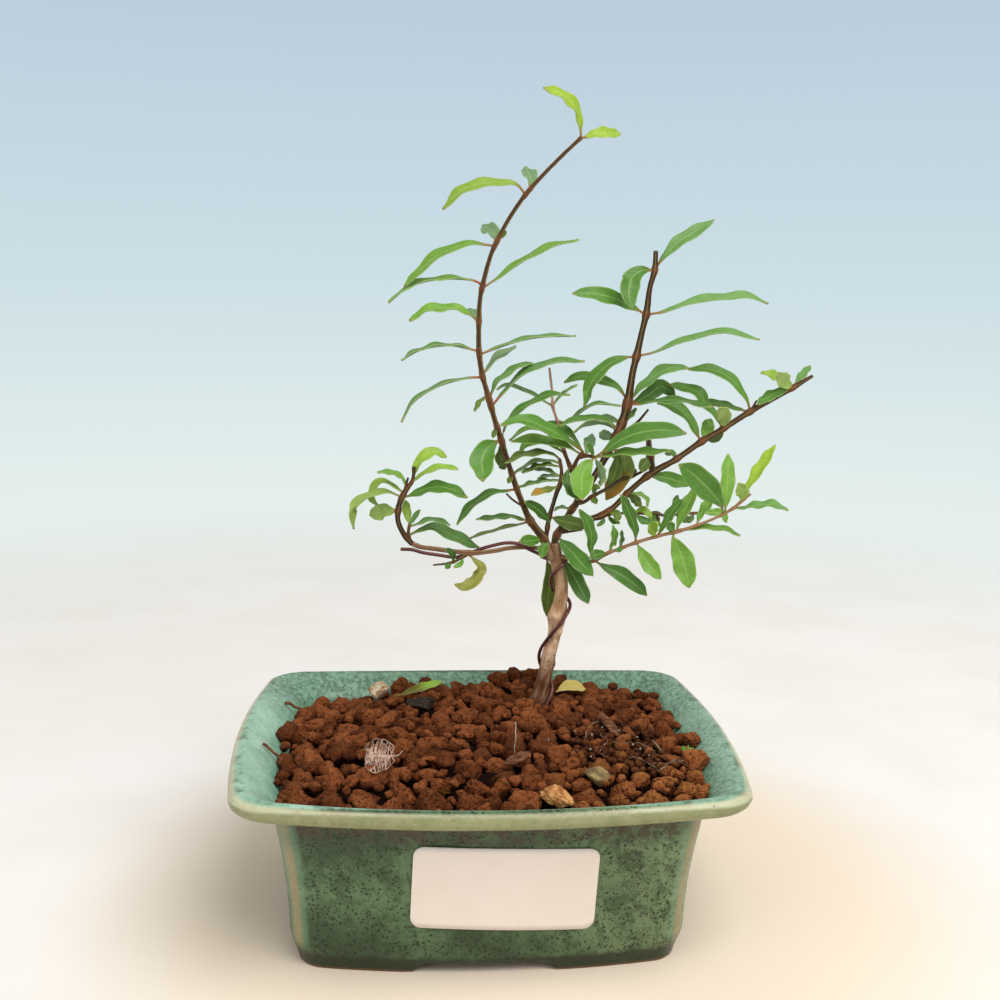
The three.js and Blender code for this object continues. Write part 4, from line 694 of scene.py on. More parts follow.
# %% [markdown]
# The granules are placed the way they settle in the pot. A row of large ones lies along the front wall and a few
# more are heaped behind the trunk. Then come more large ones, and smaller and smaller ones in the space that is
# left. To the right of the trunk lies a patch of dark crumbled peat, where fine bits take the place of granules.
# Things that lie on the soil keep their places free.

# %% Place the granules
# each row is a place across and back, and a radius
KEPT_FREE = [
    (19, 24, 3.4), (-32.8, 42, 3), (-33, 37.2, 2.4), (-18, 21.8, 3.8), (-18, 17.5, 2), (29.7, -37.6, 2.4),
    (17.2, -48, 3.6), (8.2, -27.9, 3), (60.8, -13.6, 1.6), (39, -0.6, 2.6),
]


def in_peat(x, y):
    """Below 1 in the patch of peat, whose edge is uneven."""
    return out_of_peat(x, y) + 0.3 * noise.noise(Vector((x, y, 9)) * 0.12)


HEAPED = [
    (14.0, 49.5, 4.8), (8.5, 46.0, 4.0), (20.6, 47.5, 4.4), (29.5, 50.0, 3.8), (-26.0, 49.5, 3.8),
    (-21.4, 47.6, 3.6), (-16.6, 49.8, 3.8), (-61.2, 6.2, 4.2), (-58.2, -17.5, 3.8), (63.4, -6.4, 3.4),
    (60.6, -24.5, 4.6),
]
FRONT_ROW = [
    (-52.0, -45.6, 4.0), (-43.4, -47.5, 4.4), (-34.8, -48.0, 3.8), (-27.4, -48.4, 3.6), (-17.6, -46.8, 5.8),
    (-7.8, -48.4, 3.9), (-0.8, -48.2, 3.4), (8.4, -46.4, 5.5), (25.6, -46.8, 4.5), (34.4, -47.0, 4.3),
    (44.4, -45.2, 5.3), (54.4, -40.2, 4.8),
]
placed = HEAPED + FRONT_ROW


def strew(radii, closeness, tries, peaty=False):
    """Tries to find a free place for each radius in turn."""
    for radius in radii:
        for _ in range(tries):
            x, y = chance.uniform(-66, 66), chance.uniform(-54, 54)
            if room_left(x, y) < 0.5 * radius or (in_peat(x, y) < 1) != peaty:
                continue
            if radius > 3.8 and y > chance.uniform(-50, 90):
                continue
            if wall_gap(x, y, soil_height(x, y) + 3.2 - 0.8 * radius) < 0.7 * radius:
                continue
            taken = np.array(placed)
            near = np.hypot(taken[:, 0] - x, taken[:, 1] - y) < closeness * (taken[:, 2] + radius)
            free = all(math.hypot(x - a, y - b) > r + 0.6 * radius for a, b, r in KEPT_FREE)
            if free and not near.any():
                placed.append((x, y, radius))
                break


strew(np.sort(chance.uniform(3.6, 5.4, 130))[::-1], 0.90, 80)
strew(np.sort(chance.uniform(2.4, 3.6, 300))[::-1], 0.88, 60)
strew(np.sort(chance.uniform(1.8, 2.9, 26))[::-1], 0.9, 30, peaty=True)
coarse = len(placed)
strew(np.sort(chance.uniform(1.1, 2.3, 420))[::-1], 0.66, 14)
strew(np.sort(chance.uniform(0.5, 1.5, 700))[::-1], 0.5, 12, peaty=True)
print("granules:", len(placed), "of which coarse:", coarse)

# %% [markdown]
# A shape of its own for each of nearly 800 granules would be slow to make, so each takes one of a few dozen
# lumps, stretched, turned and sunk at random. The largest ones at the front get the finest lumps. A granule that
# would stand in the pot's wall is lifted and moved in, as it would roll down the wall.

# %% Shape the granules
fine_lumps = [lump(5) for _ in range(12)]
large_lumps = [lump(4) for _ in range(20)]
plain_lumps = [lump(3) for _ in range(18)]
small_lumps = [lump(2, facets=5, rough=0.12, wild=0.5, pitted=0.0) for _ in range(14)]
front, back, middling, small = Bundle(), Bundle(), Bundle(), Bundle()
# the bed between the granules gets values that paint it almost black, as painted shade in the gaps
back.add(bed_points, bed_faces, tint=-0.5, hollow=-0.6, grit=0.0, facing=-0.5, dry=0.0)
for number, (x, y, radius) in enumerate(placed):
    heap, shapes = middling, plain_lumps
    if radius >= 3.3:
        heap, shapes = (front, fine_lumps) if y < -34 else (back, large_lumps)
    if radius < 1.5:
        heap, shapes = small, small_lumps
    points, faces, crumbly = shapes[number % len(shapes)]
    size = radius * np.array((chance.uniform(0.95, 1.3), chance.uniform(0.88, 1.1), chance.uniform(0.8, 1.0)))
    angles = (chance.uniform(-0.6, 0.6), chance.uniform(-0.6, 0.6), chance.uniform(0, 6.28))
    lift = 2.2 + chance.uniform(-1.4, 0.9) - 0.8 * radius
    if number < len(HEAPED):
        lift = 1.6 - 0.2 * radius
    elif radius < 2.3:
        lift -= 0.8 * (2.3 - radius)
    peaty = number >= coarse and in_peat(x, y) < 1
    rest = soil_height(x, y) + lift
    while wall_gap(x, y, rest) < 0.75 * radius and rest < soil_height(x, y) + lift + 2.5:
        rest += 0.25
    tint = chance.uniform(0.1, 1.0) * (0.3 if peaty else 1)
    moved = turned_about(points, size, np.array(angles)) + (x, y, rest)
    # how far up each point faces, which the clay uses for painted light on top and painted shade below
    facing = (moved[:, 2] - rest) / radius
    if wall_gap(x, y, rest) < 1.6 * radius:
        moved = kept_inside(moved)
    # painted light: the soil is brighter at the front on the right
    dry = float(soft_step(x, 5, 48) * soft_step(y, 8, -36))
    heap.add(moved, faces, tint=tint, hollow=crumbly, grit=float(peaty), facing=facing, dry=dry)

# %% [markdown]
# Fired clay is matt and porous. Its colour runs from dark chocolate to rusty brown, and no two granules agree. The
# tint that each granule carries moves it along that range. Painted shade darkens the hollows by how deep a point
# lies in the lump, the small pits, the undersides and the bed between the granules. Painted light brightens the
# tops, most of all at the front on the right, where the pale dust is painted brighter too. Small pits and two sizes
# of grain roughen it.

# %% The fired clay
clay = Finish("porous_fired_clay")
tint, hollow, grit = clay.value("tint"), clay.value("hollow"), clay.value("grit")
facing, dry = clay.value("facing"), clay.value("dry")
blotch = clay.noise(2.6, 4)
pores = clay.cells(0.75)
dust = clay.noise(0.35, 3)
warmth = (tint * 0.8 + blotch * 0.7 - 0.3).step(0.0, 1.0)
peat = clay.blend(blotch.step(0.4, 0.65), "26100a", "5f3722")
colour = clay.coats(
    clay.blend(warmth, "431a0b", "8c4f2d"),
    # painted light on the granules' tops, strongest at the front on the right
    (facing.step(0.2, 1.0) * (dry * 0.5 + 0.1), "b8783f"),
    # painted shade on their undersides
    (facing.step(0.25, -0.7) * 0.75, "240c04"),
    # painted shade in the hollows of each lump
    (hollow.step(0.0, -0.5) * 0.8, "240c03"),
    # painted shade in the small pits
    (pores.step(0.30, 0.14) * 0.6, "2c1005"),
    # pale dust, painted brighter at the front on the right
    (dust.step(0.52, 0.7) * (dry * 0.3 + 0.25), "b47a42"),
    # painted shade: the bed, whose tint is below zero, is almost black
    (tint.step(-0.05, -0.4), "1a0a05"),
    (grit * 0.7, peat))
relief = pores.step(0.0, 0.55) * 0.6 + dust * 0.8 + blotch
clay.surface(colour, 0.95, relief, 0.55, **{"Specular IOR Level": 0.1})
for granules, name in ((front, "large_granules_front"), (back, "large_granules_back"),
                       (middling, "middling_granules"), (small, "small_granules")):
    granules.piece(name, [clay], "soil", "soil")

# %% [markdown]
# A plant is mostly a layout: which way each shoot runs, where it forks and where every leaf springs from. The
# layout here is a list of points for each limb, given the way they line up when the plant is looked at from one
# place in front of it, plus how far each point lies behind the trunk. That is how a grower would sketch it. One
# small function then turns such a sketch point into a place in space.

# %% From sketch to space
TRUNK_PLANE = 24.0
# where the one who looks at the plant stands
SIGHT = np.array((-23.8, -363.5, 189.3))


def seen(x, z, depth):
    """The place in space of a sketch point: across, up and how far behind the trunk."""
    reach = (TRUNK_PLANE + depth - SIGHT[1]) / (TRUNK_PLANE - SIGHT[1])
    return np.array((SIGHT[0] + (x - SIGHT[0]) * reach, TRUNK_PLANE + depth, SIGHT[2] + (z - SIGHT[2]) * reach))


def limb_line(path, count):
    """A limb's smooth centre line with its radius as the fourth column."""
    return smooth_line([(*seen(x, z, depth), radius) for x, z, depth, radius in path], count)

# %% [markdown]
# Below are the sketches of the trunk and of the seven leafy stems. A wood row holds across, up, depth and radius
# for each of its points. A leaf row holds a colour word, the depth of the tip behind the root, the width, how far
# the blade is turned from facing forward towards facing up, and then across and up along its rib.

# %% The layout of trunk and stems
TRUNK = [
    (17.4, 37, 0, 2.5), (18.3, 47, 0, 3), (18.8, 53, 0, 2.85), (19.6, 55.5, 0, 2.8), (20.7, 60, 0, 2.4),
    (21.7, 65, 0, 2.35), (22.5, 70, 0, 2.3), (23.8, 75, 0, 2.15), (24.4, 79.5, 0, 2.4), (24.7, 82.2, 0, 2.9),
    (25.2, 85, 0, 2.7), (25.8, 88.5, 0, 2.25), (25.9, 94, 0, 2.1), (25.1, 98.8, 0, 2.3), (24.1, 102.3, 0, 2.2),
    (23.6, 105.6, 0.1, 1.7), (23.4, 107.4, 0.2, 1.4),
]
TRUNK_FORK = [(24.3, 101.2, 0, 1.6), (22.4, 103.2, 0, 1.7), (21, 105.6, 0, 1.6), (20.4, 107.6, 0, 1.5)]

TALL_SHOOT = {
    "wood": [
        ("red_brown", [
            (20.8, 106.6, 0, 1.4), (19.6, 109.2, -0.2, 1.45), (17.4, 111.9, -0.5, 1.4), (15.4, 114.6, -0.9, 1.25),
            (12.8, 120, -1.4, 1.05), (10.3, 126.2, -2, 1.05), (7.8, 133.5, -2.6, 0.92), (5.3, 141.2, -3.2, 1),
            (3.2, 147.3, -3.7, 0.9), (2, 151.4, -4, 1), (0.2, 157.4, -4.3, 0.88), (-0.8, 160.8, -4.4, 0.95),
            (-2, 168.4, -4.6, 0.92), (-2.2, 177.1, -4.6, 0.86), (-2, 184, -4.5, 0.8), (-1.3, 188.3, -4.4, 0.85),
            (1.1, 197.7, -4.1, 0.75), (2.5, 201.1, -4, 0.8), (6.2, 208.4, -3.7, 0.72), (11.4, 216.2, -3.4, 0.75),
            (17.5, 223.1, -3, 0.68), (23.9, 229.6, -2.6, 0.66), (28.1, 233.6, -2.2, 0.62),
        ]),
        ("grey_brown", [(12.4, 119.6, -1.6, 0.4), (9.6, 121.4, -2.8, 0.38), (7.5, 123.4, -3.6, 0.34)]),
    ],
    "leaves": [
        ("bright", -8, 4.6, 50, 28, 235, 26.6, 241.6, 22.8, 245.4, 16.2, 247.9),
        ("bright", 8, 4.2, 38, 28.3, 233, 34.8, 235.1, 40.1, 234.9),
        ("lime", -8, 5.2, 55, 11.2, 216.5, 9, 219, 4.8, 219.7, 0, 219.5, -7.4, 217.4, -13.8, 211.3),
        ("underside", 13, 5, 30, 12.6, 218.3, 12.8, 221.5, 11.2, 224.5),
        ("fresh", -7, 5.2, 58, 1.6, 201, -4.2, 201.2, -10.7, 199.5, -17, 196, -21.4, 191.5, -25.4, 187.8),
        ("underside", 14, 5, 25, 2.8, 202, 1.5, 205, -1.5, 206.8),
        ("olive", 1, 1.8, 20, 3.2, 202.6, 5.8, 205.2),
        ("fresh", -8, 5, 75, -2.2, 188.8, -3.5, 190, -10.1, 190.6, -17.8, 189.8, -24.5, 187.4, -30.2, 182.8),
        ("fresh", 7, 5, 69, -1, 187.7, 4.9, 192.1, 13.9, 198, 20.2, 200.9, 28.3, 203.2),
        ("fresh", -9, 5, 60, -2.9, 177.2, -4.9, 179.7, -8.6, 181.3, -14.1, 181.4, -18.7, 180.6, -23.7, 177.4),
        ("underside", 12, 4.6, 40, -2.4, 177.6, -3.6, 179.8, -5.2, 181.4),
        ("soft", -8, 5, 80, -2.7, 168.4, -9.9, 170.1, -16.2, 169.6, -20.8, 168.3, -26.1, 165.2),
        ("soft", 7, 5, 79, -1.1, 167.5, 3, 169.4, 9.5, 171.6, 16.9, 173.1, 28.3, 173.6),
        ("underside", 11, 4.4, 58, 0, 161.4, 1.2, 163.4, 3.5, 166.6, 6.7, 168.5, 9.5, 170.2),
        ("soft", -8, 5, 78, -1.2, 160.2, -6, 160, -15.2, 157.1, -22.6, 151.9, -26, 145.9),
        ("soft", 4, 4.6, 64, 1.4, 153.2, 3.5, 158.5, 7.5, 161.8, 10.5, 164, 14.8, 164.9),
        ("soft", 5, 5.2, 68, 2.5, 151.2, 7.5, 157.5, 11.2, 160.9, 16.3, 163.7, 22.3, 165.4, 31.3, 165.8),
        ("olive", -2, 2.6, 55, 0.9, 154.6, -1.3, 152.7, -3.1, 149.6),
        ("green", -12, 7.6, 0, 4.6, 140.6, 0.9, 137.8, -0.5, 134, -0.2, 130.5, -0.1, 127.3),
        ("olive", 8, 4.6, 30, 5.5, 140, 5.3, 136, 6.8, 131.4),
        ("mid", -1, 4.4, 62, 5.6, 140.7, 6.8, 145, 8.7, 148.3, 15, 152.6, 19.8, 155, 27, 155.2),
        ("olive", -1, 1.9, 30, 4.3, 144.8, 3.4, 143, 2.8, 141.3),
        ("olive", -2, 1.8, 20, 9.6, 129.8, 8, 126.8),
        ("mid", -8, 4.6, 56, 9.8, 124.5, 5.8, 124.1, 1.6, 123.1, -2.5, 120.2, -7, 115.2, -8.1, 113.2),
        ("dark", -7, 4.2, 66, 15, 114.2, 11.8, 115.2, 9.2, 115.9, 4.7, 115.5, -2, 115),
        ("olive", 4, 3.6, 77, 15.2, 114.4, 12.1, 113.6, 6.5, 112.2, -4.1, 108.8),
        ("green", -8, 3.9, 15, 20.2, 109.3, 18.5, 108.5, 15.1, 108.1, 12, 107.9),
        ("green", -6, 3.6, 20, 19.9, 108.9, 20.2, 106.6, 19.4, 104.4, 19.3, 102.5),
    ],
}

INNER_SHOOT = {
    "wood": [
        ("dark_brown", [
            (20.3, 107.2, 0.2, 0.95), (20.8, 111.5, 0.6, 0.75), (21.4, 115.8, 1, 0.75), (22.7, 120.6, 1.4, 0.72),
            (23.5, 123.6, 1.7, 0.78), (24.5, 126.3, 2, 0.7), (25, 128.5, 2.2, 0.66), (24.9, 131.4, 2.5, 0.5),
            (24.2, 134.8, 2.8, 0.45),
        ]),
    ],
    "leaves": [
        ("olive", -10, 4.4, 60, 24.2, 134.4, 21.9, 136.5, 18.2, 136.6, 14.5, 136.3, 10.8, 135.3, 6.8, 133.2),
        ("soft", 2, 4.4, 74, 24.6, 133.2, 22, 134.1, 18.3, 134.1, 14.6, 133, 9.8, 129.9),
        ("olive", -2, 4, 70, 24.7, 132.3, 19.8, 132.8, 16.2, 131.8, 12.5, 130.1),
        ("olive", 5, 4, 68, 25, 128.9, 22.1, 130.3, 18.4, 131.3, 15.4, 131.2, 12.2, 130.3),
        ("underside", 1, 3, 72, 25, 129.3, 19.9, 129.1, 17.3, 128.3),
        ("soft", -2, 3.8, 72, 24.8, 127.9, 19.9, 127.7, 16.2, 126.8, 11.2, 125.5),
        ("ochre", -6, 4, 55, 24.4, 126.2, 22.2, 125.1, 19.3, 124.2, 15.5, 123.1),
        ("olive", -4, 4.8, 10, 21.5, 116, 25.2, 114.8, 28.9, 113.9, 33.8, 112.9),
        ("dark", -4, 3.8, 25, 21, 112.6, 21.3, 114.4, 18.8, 117.2, 16.2, 119.3, 13.2, 120.9),
    ],
}

CROWN_SPRAY = {
    "wood": [
        ("brown", [
            (23.5, 106, 0.1, 1.3), (23.5, 108.2, 0.3, 1.3), (24.2, 110.4, 0.6, 1.25), (25.7, 113.2, 1.1, 1.15),
            (27.3, 116.2, 1.6, 1.15), (28.9, 118.8, 2, 1.15), (30.2, 120.8, 2.4, 1.25), (30.3, 124, 2.4, 0.95),
            (29.4, 127.5, 2.3, 0.9), (28.2, 131, 2.2, 0.8), (26.8, 134.3, 2, 0.72), (25.6, 137, 1.9, 0.55),
        ]),
        ("brown", [
            (28.7, 129.4, 2.2, 0.75), (29.2, 133, 1.8, 0.7), (30.4, 135.4, 1.5, 0.65), (31.8, 137, 1.4, 0.6),
        ]),
        ("brown", [(30.4, 135.2, 1.5, 0.6), (33, 135.8, 1.2, 0.55), (35.6, 135.3, 1, 0.5)]),
        ("tan", [
            (26.8, 134, 2, 0.5), (25.4, 138.5, 3.2, 0.5), (24.2, 143, 3.6, 0.48), (22.9, 147.5, 3.4, 0.46),
            (21.6, 151.4, 3.2, 0.55), (21.3, 155.9, 3, 0.42), (20.7, 160, 2.8, 0.5), (20.2, 163.6, 2.7, 0.35),
        ]),
        ("dark_brown", [
            (30, 120.4, 2.4, 0.75), (32.6, 120.9, 2.8, 0.62), (34.7, 122.5, 3.2, 0.6), (37.1, 123.8, 3.8, 0.6),
            (41.2, 126.1, 4.8, 0.58), (44.4, 128.4, 5.8, 0.6), (47.7, 129.3, 7.2, 0.52), (52.4, 131.7, 9.4, 0.45),
        ]),
        ("grey_brown", [(24.4, 110.6, 0.6, 0.5), (28.9, 111.3, -0.6, 0.42), (32.3, 111.8, -1.2, 0.35)]),
    ],
    "leaves": [
        ("green", -13, 5, 40, 31.4, 137.6, 27.3, 140.4, 23.6, 142.6, 19.6, 144.4, 15.2, 146.4, 10.8, 146.9, 5.3,
         145.3),
        ("fresh", -5, 4.6, 44, 31, 136.3, 27.4, 138.4, 23.7, 139.9, 19.6, 140.3, 15.2, 140.8, 8.7, 140.1),
        ("green", 2, 4, 56, 31.4, 137.2, 28.1, 141.7, 25.5, 144.1, 23, 145.4, 18.6, 146),
        ("underside", 10, 4, 20, 32.4, 136, 33.4, 139.6, 34.4, 142.8),
        ("fresh", 4, 3.6, 68, 25.8, 137, 20, 143, 15, 144.6, 12.9, 143.8, 8, 140.5),
        ("fresh", 7, 3.2, 40, 25.8, 136.6, 19, 140.3, 13.5, 139.2, 11.2, 136.2),
        ("green", -6, 6.4, 20, 35.4, 135.5, 39.8, 138.2, 44, 141.2, 49, 143.2, 54.8, 144.2, 59.7, 144.1, 64.8,
         143.3),
        ("fresh", -3, 4.6, 57, 35.5, 135.2, 40.6, 136.1, 45.6, 137, 50.6, 137, 55.5, 137.3, 60, 137.6),
        ("fresh", -16, 7.2, 0, 35.6, 135, 33.3, 133, 31.7, 130, 31.6, 126.3, 31.8, 121.5),
        ("olive", -9, 4.2, 130, 35.6, 135, 37.4, 131.2, 38.1, 128.6, 37.7, 126.3),
        ("mid", -4, 2, 30, 35.2, 135.6, 34.2, 137.8, 32.7, 139.8),
        ("mid", -8, 4, 20, 27.9, 132.6, 26.6, 128.9, 27.9, 125.6, 30.5, 121.6),
        ("mid", -4, 2.4, 10, 29.4, 127.6, 27.6, 125.6, 27.2, 123.3),
        ("olive", -3, 2.4, 20, 34.6, 122.6, 35.6, 121.6, 36.5, 120.4),
        ("olive", -2, 2, 20, 35.4, 123, 36, 125.8, 37.6, 125.4),
        ("dark", 2, 1.8, 20, 47.8, 129.3, 48.8, 131.6),
        ("soft", -2, 3, 76, 28.6, 118.6, 25.1, 119, 22.9, 118),
        ("mid", -12, 6, 10, 24.2, 110.2, 26, 107.5, 28.7, 104.8, 31.4, 101.8, 33.7, 99.2, 36.2, 96.7),
        ("soft", 3, 3.6, 75, 23.1, 147, 26.1, 146.5, 29, 148.5, 31.9, 150.8, 35.2, 152.3, 43.2, 151.9),
        ("soft", 3, 3.6, 70, 21.5, 151.6, 14.9, 155.3, 10.2, 157.4, 5.6, 157.7, 3.8, 156.5),
        ("soft", 2, 2.6, 72, 21.9, 151.9, 24, 154.8, 26.4, 156.7, 29.2, 158.4),
    ],
}

UPRIGHT_SHOOT = {
    "wood": [
        ("brown", [
            (30.5, 121.3, 2.4, 1.1), (33.6, 125.6, 3.6, 1.15), (36, 130, 4.8, 1.1), (38.2, 134, 5.4, 1.15),
            (39.9, 137.6, 5.8, 1.15), (41.6, 141.2, 6.1, 1.25), (43.3, 144.8, 6.3, 1.35), (45.3, 152.2, 6.6, 1.4),
            (46.7, 162.6, 6.9, 1.15), (47.7, 167.5, 7.1, 1.2), (49.4, 176.6, 7.4, 1), (50.3, 181, 7.5, 1.1),
            (51.1, 189.1, 7.8, 0.88), (52.4, 194.4, 8, 0.92), (52.5, 200.3, 8.1, 0.75),
        ]),
        ("black_brown", [(43.8, 143.4, 6.2, 0.5), (48.5, 146.5, 6, 0.5), (52.2, 150.9, 5.8, 0.38)]),
    ],
    "leaves": [
        ("soft", 8, 5, 35, 52.6, 194.6, 55.8, 199.3, 60.1, 203.5, 64.8, 206.5, 70.3, 210),
        ("green", -12, 6.4, 20, 52.1, 194.3, 48.5, 194.2, 45.2, 191.5, 44.5, 187, 45.5, 182.3),
        ("green", -8, 5.4, 30, 50, 180.6, 46, 182.8, 41.1, 185, 35, 186.6, 26.9, 186.8),
        ("soft", 8, 5.4, 62, 50.6, 180.6, 55.9, 181.6, 66.3, 185.2, 75.7, 186.2, 81.2, 187, 89, 184.7),
        ("soft", -6, 5.2, 68, 48, 167.6, 53.1, 168.9, 58.6, 171.1, 64.1, 173.2, 75.7, 175.5, 87, 173.4),
        ("green", -6, 5.4, 42, 47.4, 167.5, 43.7, 167.1, 39.3, 165.1, 35.6, 161.9, 33, 157.5, 31.5, 151.4),
        ("green", 9, 4.8, 46, 45.3, 153.4, 41.8, 158, 36.8, 159.6, 30.8, 161.1, 25, 159),
        ("mid", -6, 5, 66, 45.4, 152.4, 49.9, 152.7, 54.9, 153.6, 62.7, 153.7, 72.7, 151.9),
        ("soft", -2, 5.2, 50, 45.5, 153, 50.7, 158.8, 54.6, 162.1, 59.1, 164.1, 64.6, 163.9),
        ("mid", 10, 5, 0, 45.4, 151.6, 52, 155.5, 56, 158.2, 60.5, 155.5),
        ("soft", 3, 2.6, 40, 44, 146, 46.3, 148.6, 48.3, 151.2),
        ("green", -9, 4.4, 65, 42.9, 144.2, 39.6, 146.9, 35.6, 147.7, 31.2, 147.7, 27.6, 146.6, 23.9, 145.3),
        ("dark", -10, 4, 112, 42.9, 143.9, 38.9, 145.9, 34.5, 146.2, 31.2, 145.2, 28.3, 143.2),
        ("underside", 8, 2.4, 10, 43.9, 146.4, 40, 147.8, 37, 148.7),
        ("underside", 6, 3.6, 10, 42, 142, 39.5, 142.2, 36.8, 143.2),
        ("ochre", 5, 7, 15, 40.2, 138.2, 44.6, 136.4, 45.2, 131.5, 42.3, 126.5, 39.6, 121.6),
        ("olive", 0.5, 4.2, 0, 39.2, 136.2, 42.6, 135.4, 42.3, 130.7, 40.1, 125.8),
    ],
}

RIGHT_BRANCH = {
    "wood": [
        ("red_brown", [
            (24.8, 111, 0.8, 0.95), (28, 112.7, 2.2, 0.95), (33, 114.9, 3.2, 0.95), (38, 116.4, 3.8, 1.1),
            (41.4, 118.6, 4.2, 0.95), (46.4, 123.8, 4.8, 0.95), (50, 127.2, 5.4, 0.95), (54.4, 130.7, 6, 1.15),
            (61.5, 134.8, 7, 0.98), (69.8, 140.8, 8.2, 1.05), (76.8, 145.1, 9.2, 0.98), (85.4, 150.8, 10.2, 0.98),
            (93.2, 155.2, 11, 0.8), (98.6, 158.4, 11.6, 0.85), (104.7, 162.2, 12.2, 0.55),
        ]),
        ("brown", [(54.4, 130.6, 6, 1.2), (53.6, 134.5, 6.8, 1.25), (52.9, 138.5, 7.6, 1.1), (52.6, 141, 8.2, 1)]),
        ("grey_brown", [
            (38.8, 116.7, 3.9, 0.6), (44.8, 117.3, 4.9, 0.45), (53.4, 117.3, 6, 0.45), (56.3, 117.5, 6.5, 0.65),
            (58.2, 116.7, 6.8, 0.5), (65.6, 117.3, 7.6, 0.45), (70.4, 117.5, 8, 0.4),
        ]),
        ("grey_brown", [(56.5, 117.4, 6.5, 0.6), (56.8, 115, 6.3, 0.5)]),
        ("grey_brown", [(85.3, 150.6, 10.2, 0.55), (87, 154.2, 10.6, 0.32)]),
    ],
    "leaves": [
        ("lime", -4, 4.4, 50, 98.6, 158.4, 94.6, 161.4, 87.9, 163),
        ("pale", -10, 5, 10, 98.4, 158.2, 95.6, 160.4, 93.8, 163.2),
        ("soft", 5, 3.4, 40, 98.8, 158.6, 101.5, 162.5, 103.8, 165.4),
        ("green", -5, 4.4, 40, 98.2, 158.2, 93, 156.5, 87.3, 152.9),
        ("green", 0, 5, 50, 85, 150.8, 83.8, 154.2, 81.5, 157.5, 76.4, 162, 70.7, 163.8, 64.3, 163.8),
        ("mid", 8, 4.8, 60, 84.8, 150.4, 79.7, 151.7, 74.1, 153, 66.2, 152.5),
        ("green", 4, 5, 45, 76.6, 145, 73.4, 149.7, 70.6, 152.6, 68.7, 155.5, 65.4, 157.5, 58.4, 158.7),
        ("pale", -8, 5, 10, 76.7, 145.1, 76.8, 148.5, 75.2, 151.8),
        ("olive", 6, 3.2, 20, 76.6, 145, 75.6, 142.8, 72.3, 141),
        ("fresh", 9, 4.4, 10, 70.2, 141, 71.2, 144.2, 72.3, 148),
        ("green", 3, 5.2, 45, 69.5, 140.8, 67.9, 143.7, 66.2, 146.9, 63.7, 149.5, 60.1, 152, 54.9, 152.8),
        ("soft", 3, 2.2, 20, 62, 135.2, 60.4, 137, 58.2, 136.6),
        ("green", 4, 4.8, 15, 52.6, 129.2, 57.4, 129.2, 62.6, 127.9, 67, 127),
        ("olive", -4, 3.8, 0, 53.3, 136, 51.6, 133.2, 50.6, 131),
        ("fresh", -4, 3.4, 70, 46.4, 123.8, 50, 123.5, 52.5, 122, 53.2, 119.6),
        ("olive", 3, 3.4, 25, 46.2, 123.4, 49.2, 121.5, 51, 119.7),
        ("olive", -4, 3.4, 30, 40.4, 118, 42.8, 117, 43.6, 114.6),
        ("soft", -2, 1.9, 40, 38.6, 116.2, 38.8, 114.4, 37, 113.1),
        ("green", -2, 2, 40, 40.2, 116.9, 42, 114.6, 44.4, 114.1),
        ("lime", -4, 2.6, 30, 48.8, 117.3, 51.5, 118.6, 54.8, 116),
        ("soft", -6, 2.8, 20, 49.4, 117.3, 51.5, 115.2, 55, 114.2),
        ("fresh", 4, 3, 20, 52, 117.3, 55, 116, 57.4, 113.2),
        ("fresh", 4, 2.8, 160, 68.4, 117.4, 67.5, 115.7, 64, 115),
        ("green", 5, 2.6, 20, 61.4, 117, 62, 119.8, 62.8, 123.3),
        ("fresh", -1, 3, 20, 70.4, 117.5, 75.3, 117.7, 78, 117, 79.2, 114.4),
    ],
}

